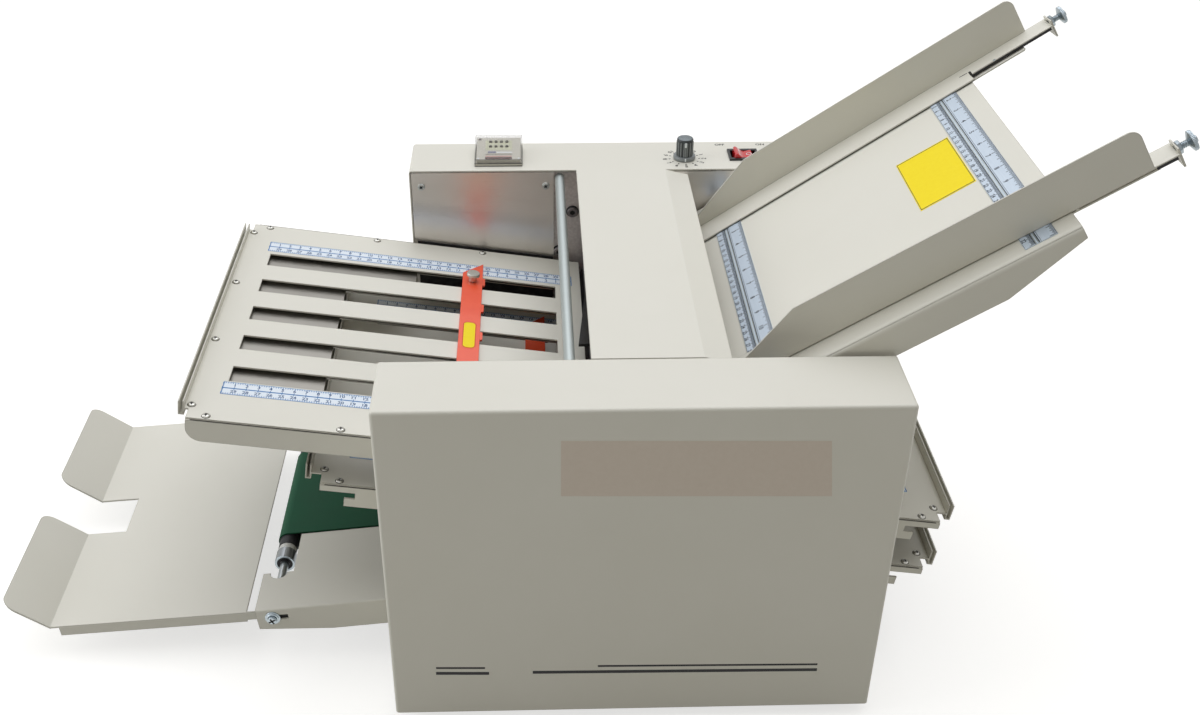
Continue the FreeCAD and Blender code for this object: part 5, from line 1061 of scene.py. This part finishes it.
def idler_hubs():
    """The bearing at each end of the idler: a bright outer ring round a dark seal."""
    ends = [wall_at(IDLER_X, side * 97.0, IDLER_Z, -side) for side in (-1, 1)]
    ring = turned([(7.4, 0.0), (9.55, 0.0), (9.5, 0.4), (9.1, 0.8), (7.8, 0.8), (7.4, 0.5), (7.4, 0.0)])
    put("idler_rings", "conveyor_idler", "plated_steel", zinc, ends, ring, smooth=35, weld=True)
    seal = turned([(4.1, 0.02), (7.5, 0.02), (7.5, 0.12), (4.1, 0.12), (4.1, 0.02)])
    put("idler_seals", "conveyor_idler", "plated_steel", black_ink, ends, seal, weld=True)


def guide_marks():
    """The far guide's painted shadow gaps, black strips under its flange and its bar, its rail, its bent slot
    drawn as painted shade, and its rivet, and a painted shadow gap under the near guide's edge.
    """
    far, near = face(*guide_ways("far")), face(*guide_ways("near"))
    end, sole, gap_shade_top = 362, -0.9, 1.75
    gap_shade = [
        prism(box(-40, -32.1, TABLE_HIGH, -31.0), 1.0, 1.5),
        prism(box(TABLE_HIGH, -21.1, end, -19.5), sole, gap_shade_top),
    ]
    put("guide_gap_shade", "far_guide", "cream_paint", black_rubber, far, *gap_shade)
    put("near_guide_gap_shade", "near_guide", "cream_paint", black_rubber, near,
        prism(box(345.5, -0.1, end, 1.5), sole, gap_shade_top))
    rail = prism([(266, -25.0), (331, -25.0), (333, -23.0), (333, -14.0), (266, -14.0)], -3.1, -2.0, 0.2)
    put("guide_rail", "far_guide", "cream_paint", cream_coat, far, rail, smooth=30)
    slot = bars([(-141.6, 269.5, -140.4, 277.5), (-141.6, 278.6, -133.0, 281.0)], 2.62)
    put("guide_slot_shade", "far_guide", "cream_paint", black_ink, TABLE_FACE, slot)
    rivet = moved(turned([(0, 2.5), (1.5, 2.5), (1.3, 2.85), (0, 3.0)], 20), -137.6, 304.2)
    put("guide_rivet", "far_guide", "plated_steel", zinc, TABLE_FACE, rivet, smooth=40, weld=True)


front_labels()
speed_dial()
knob()
counter_face()
counter_details()
rocker()
inlet_blades()
frame_screw_heads()
liner_parts()
tension_screws()
idler_hubs()
guide_marks()


# ---------------------------------------------------------------- room, light and camera


def room():
    """A pale floor that reads as white where it is unshaded and keeps the machine's soft shadow."""
    mesh = bpy.data.meshes.new("floor")
    reach = 6.0
    mesh.from_pydata([(*corner, 0) for corner in box(-reach, -reach, reach, reach)], [], [(0, 1, 2, 3)])
    floor = bpy.data.objects.new("floor", mesh)
    bpy.context.scene.collection.objects.link(floor)
    material = bpy.data.materials.new("floor_paper")
    material.use_nodes = True
    tree = material.node_tree
    tree.nodes.remove(tree.nodes["Principled BSDF"])
    shown, glossy, through = (
        add(tree, "LightPath", out=ray) for ray in ("Is Camera Ray", "Is Glossy Ray", "Is Transmission Ray")
    )
    for ray in (glossy, through):
        shown = add(tree, "Math", {0: shown, 1: ray}, operation="MAXIMUM")
    paper = add(tree, "BsdfDiffuse", {"Color": linear("#c4c3be")})
    glow = add(tree, "Emission", {"Color": (1, 1, 1, 1), "Strength": 0.66})
    extra = add(tree, "MixShader", {0: shown, 2: glow})
    total = add(tree, "AddShader", {0: paper, 1: extra})
    tree.links.new(total, tree.nodes["Material Output"].inputs["Surface"])
    mesh.materials.append(material)


def light():
    """Soft light from a ceiling, a panel overhead and one at each side, and a pale room."""
    scene = bpy.context.scene
    ceiling = bpy.data.lights.new("ceiling", "SUN")
    ceiling.energy, ceiling.angle, ceiling.color = 1.15, math.radians(80), (0.985, 0.995, 1.06)
    lamp = bpy.data.objects.new("ceiling", ceiling)
    lamp.rotation_euler = (math.radians(-20), math.radians(-3), 0)
    scene.collection.objects.link(lamp)
    for name, place, width, height, power in (
        ("overhead_panel", (0.15, 0.5, 1.9), 1.8, 1.4, 9.8),
        ("left_panel", (-2.0, -0.1, 1.0), 1.8, 1.2, 14.0),
        ("right_panel", (2.2, -0.2, 1.2), 1.6, 1.2, 3.0),
    ):
        panel = bpy.data.lights.new(name, "AREA")
        panel.shape, panel.size, panel.size_y, panel.energy = "RECTANGLE", width, height, power
        panel.color = (0.97, 0.99, 1.06)
        lamp = bpy.data.objects.new(name, panel)
        lamp.location = place
        lamp.rotation_euler = (Vector((0, 0, 0.2)) - lamp.location).to_track_quat("-Z", "Y").to_euler()
        scene.collection.objects.link(lamp)
    scene.world = bpy.data.worlds.new("pale_room")
    scene.world.use_nodes = True
    tree = scene.world.node_tree
    shade = tree.nodes["Background"]
    shade.inputs["Color"].default_value = linear("#f5f1e7")
    shade.inputs["Strength"].default_value = 0.29
    seen = shade.outputs["Background"]
    for ray, strength in (("Is Glossy Ray", 0.62), ("Is Camera Ray", 1.0)):
        white = add(tree, "Background", {"Color": (1, 1, 1, 1), "Strength": strength})
        seen = add(tree, "MixShader", {0: add(tree, "LightPath", out=ray), 1: seen, 2: white})
    tree.links.new(seen, tree.nodes["World Output"].inputs["Surface"])


def camera():
    """A camera above the near left of the machine, looking down and slightly to the right."""
    lens = bpy.data.cameras.new("camera")
    lens.sensor_fit, lens.sensor_width = "HORIZONTAL", 36.0
    lens.lens = 40.18
    lens.shift_x, lens.shift_y = 0.02466, -0.00543
    lens.clip_end = 50.0
    viewer = bpy.data.objects.new("camera", lens)
    right = Vector((0.999533, -0.030154, 0.004941))
    down = Vector((-0.012093, -0.538869, -0.842303))
    forward = Vector((0.028061, 0.841850, -0.538982))
    turn = Matrix((right, -down, -forward)).transposed().to_4x4()
    viewer.matrix_world = Matrix.Translation((-0.0843, -1.0688, 0.9123)) @ turn
    bpy.context.scene.collection.objects.link(viewer)
    bpy.context.scene.camera = viewer


room()
light()
camera()
bpy.context.scene.view_settings.view_transform = "Standard"
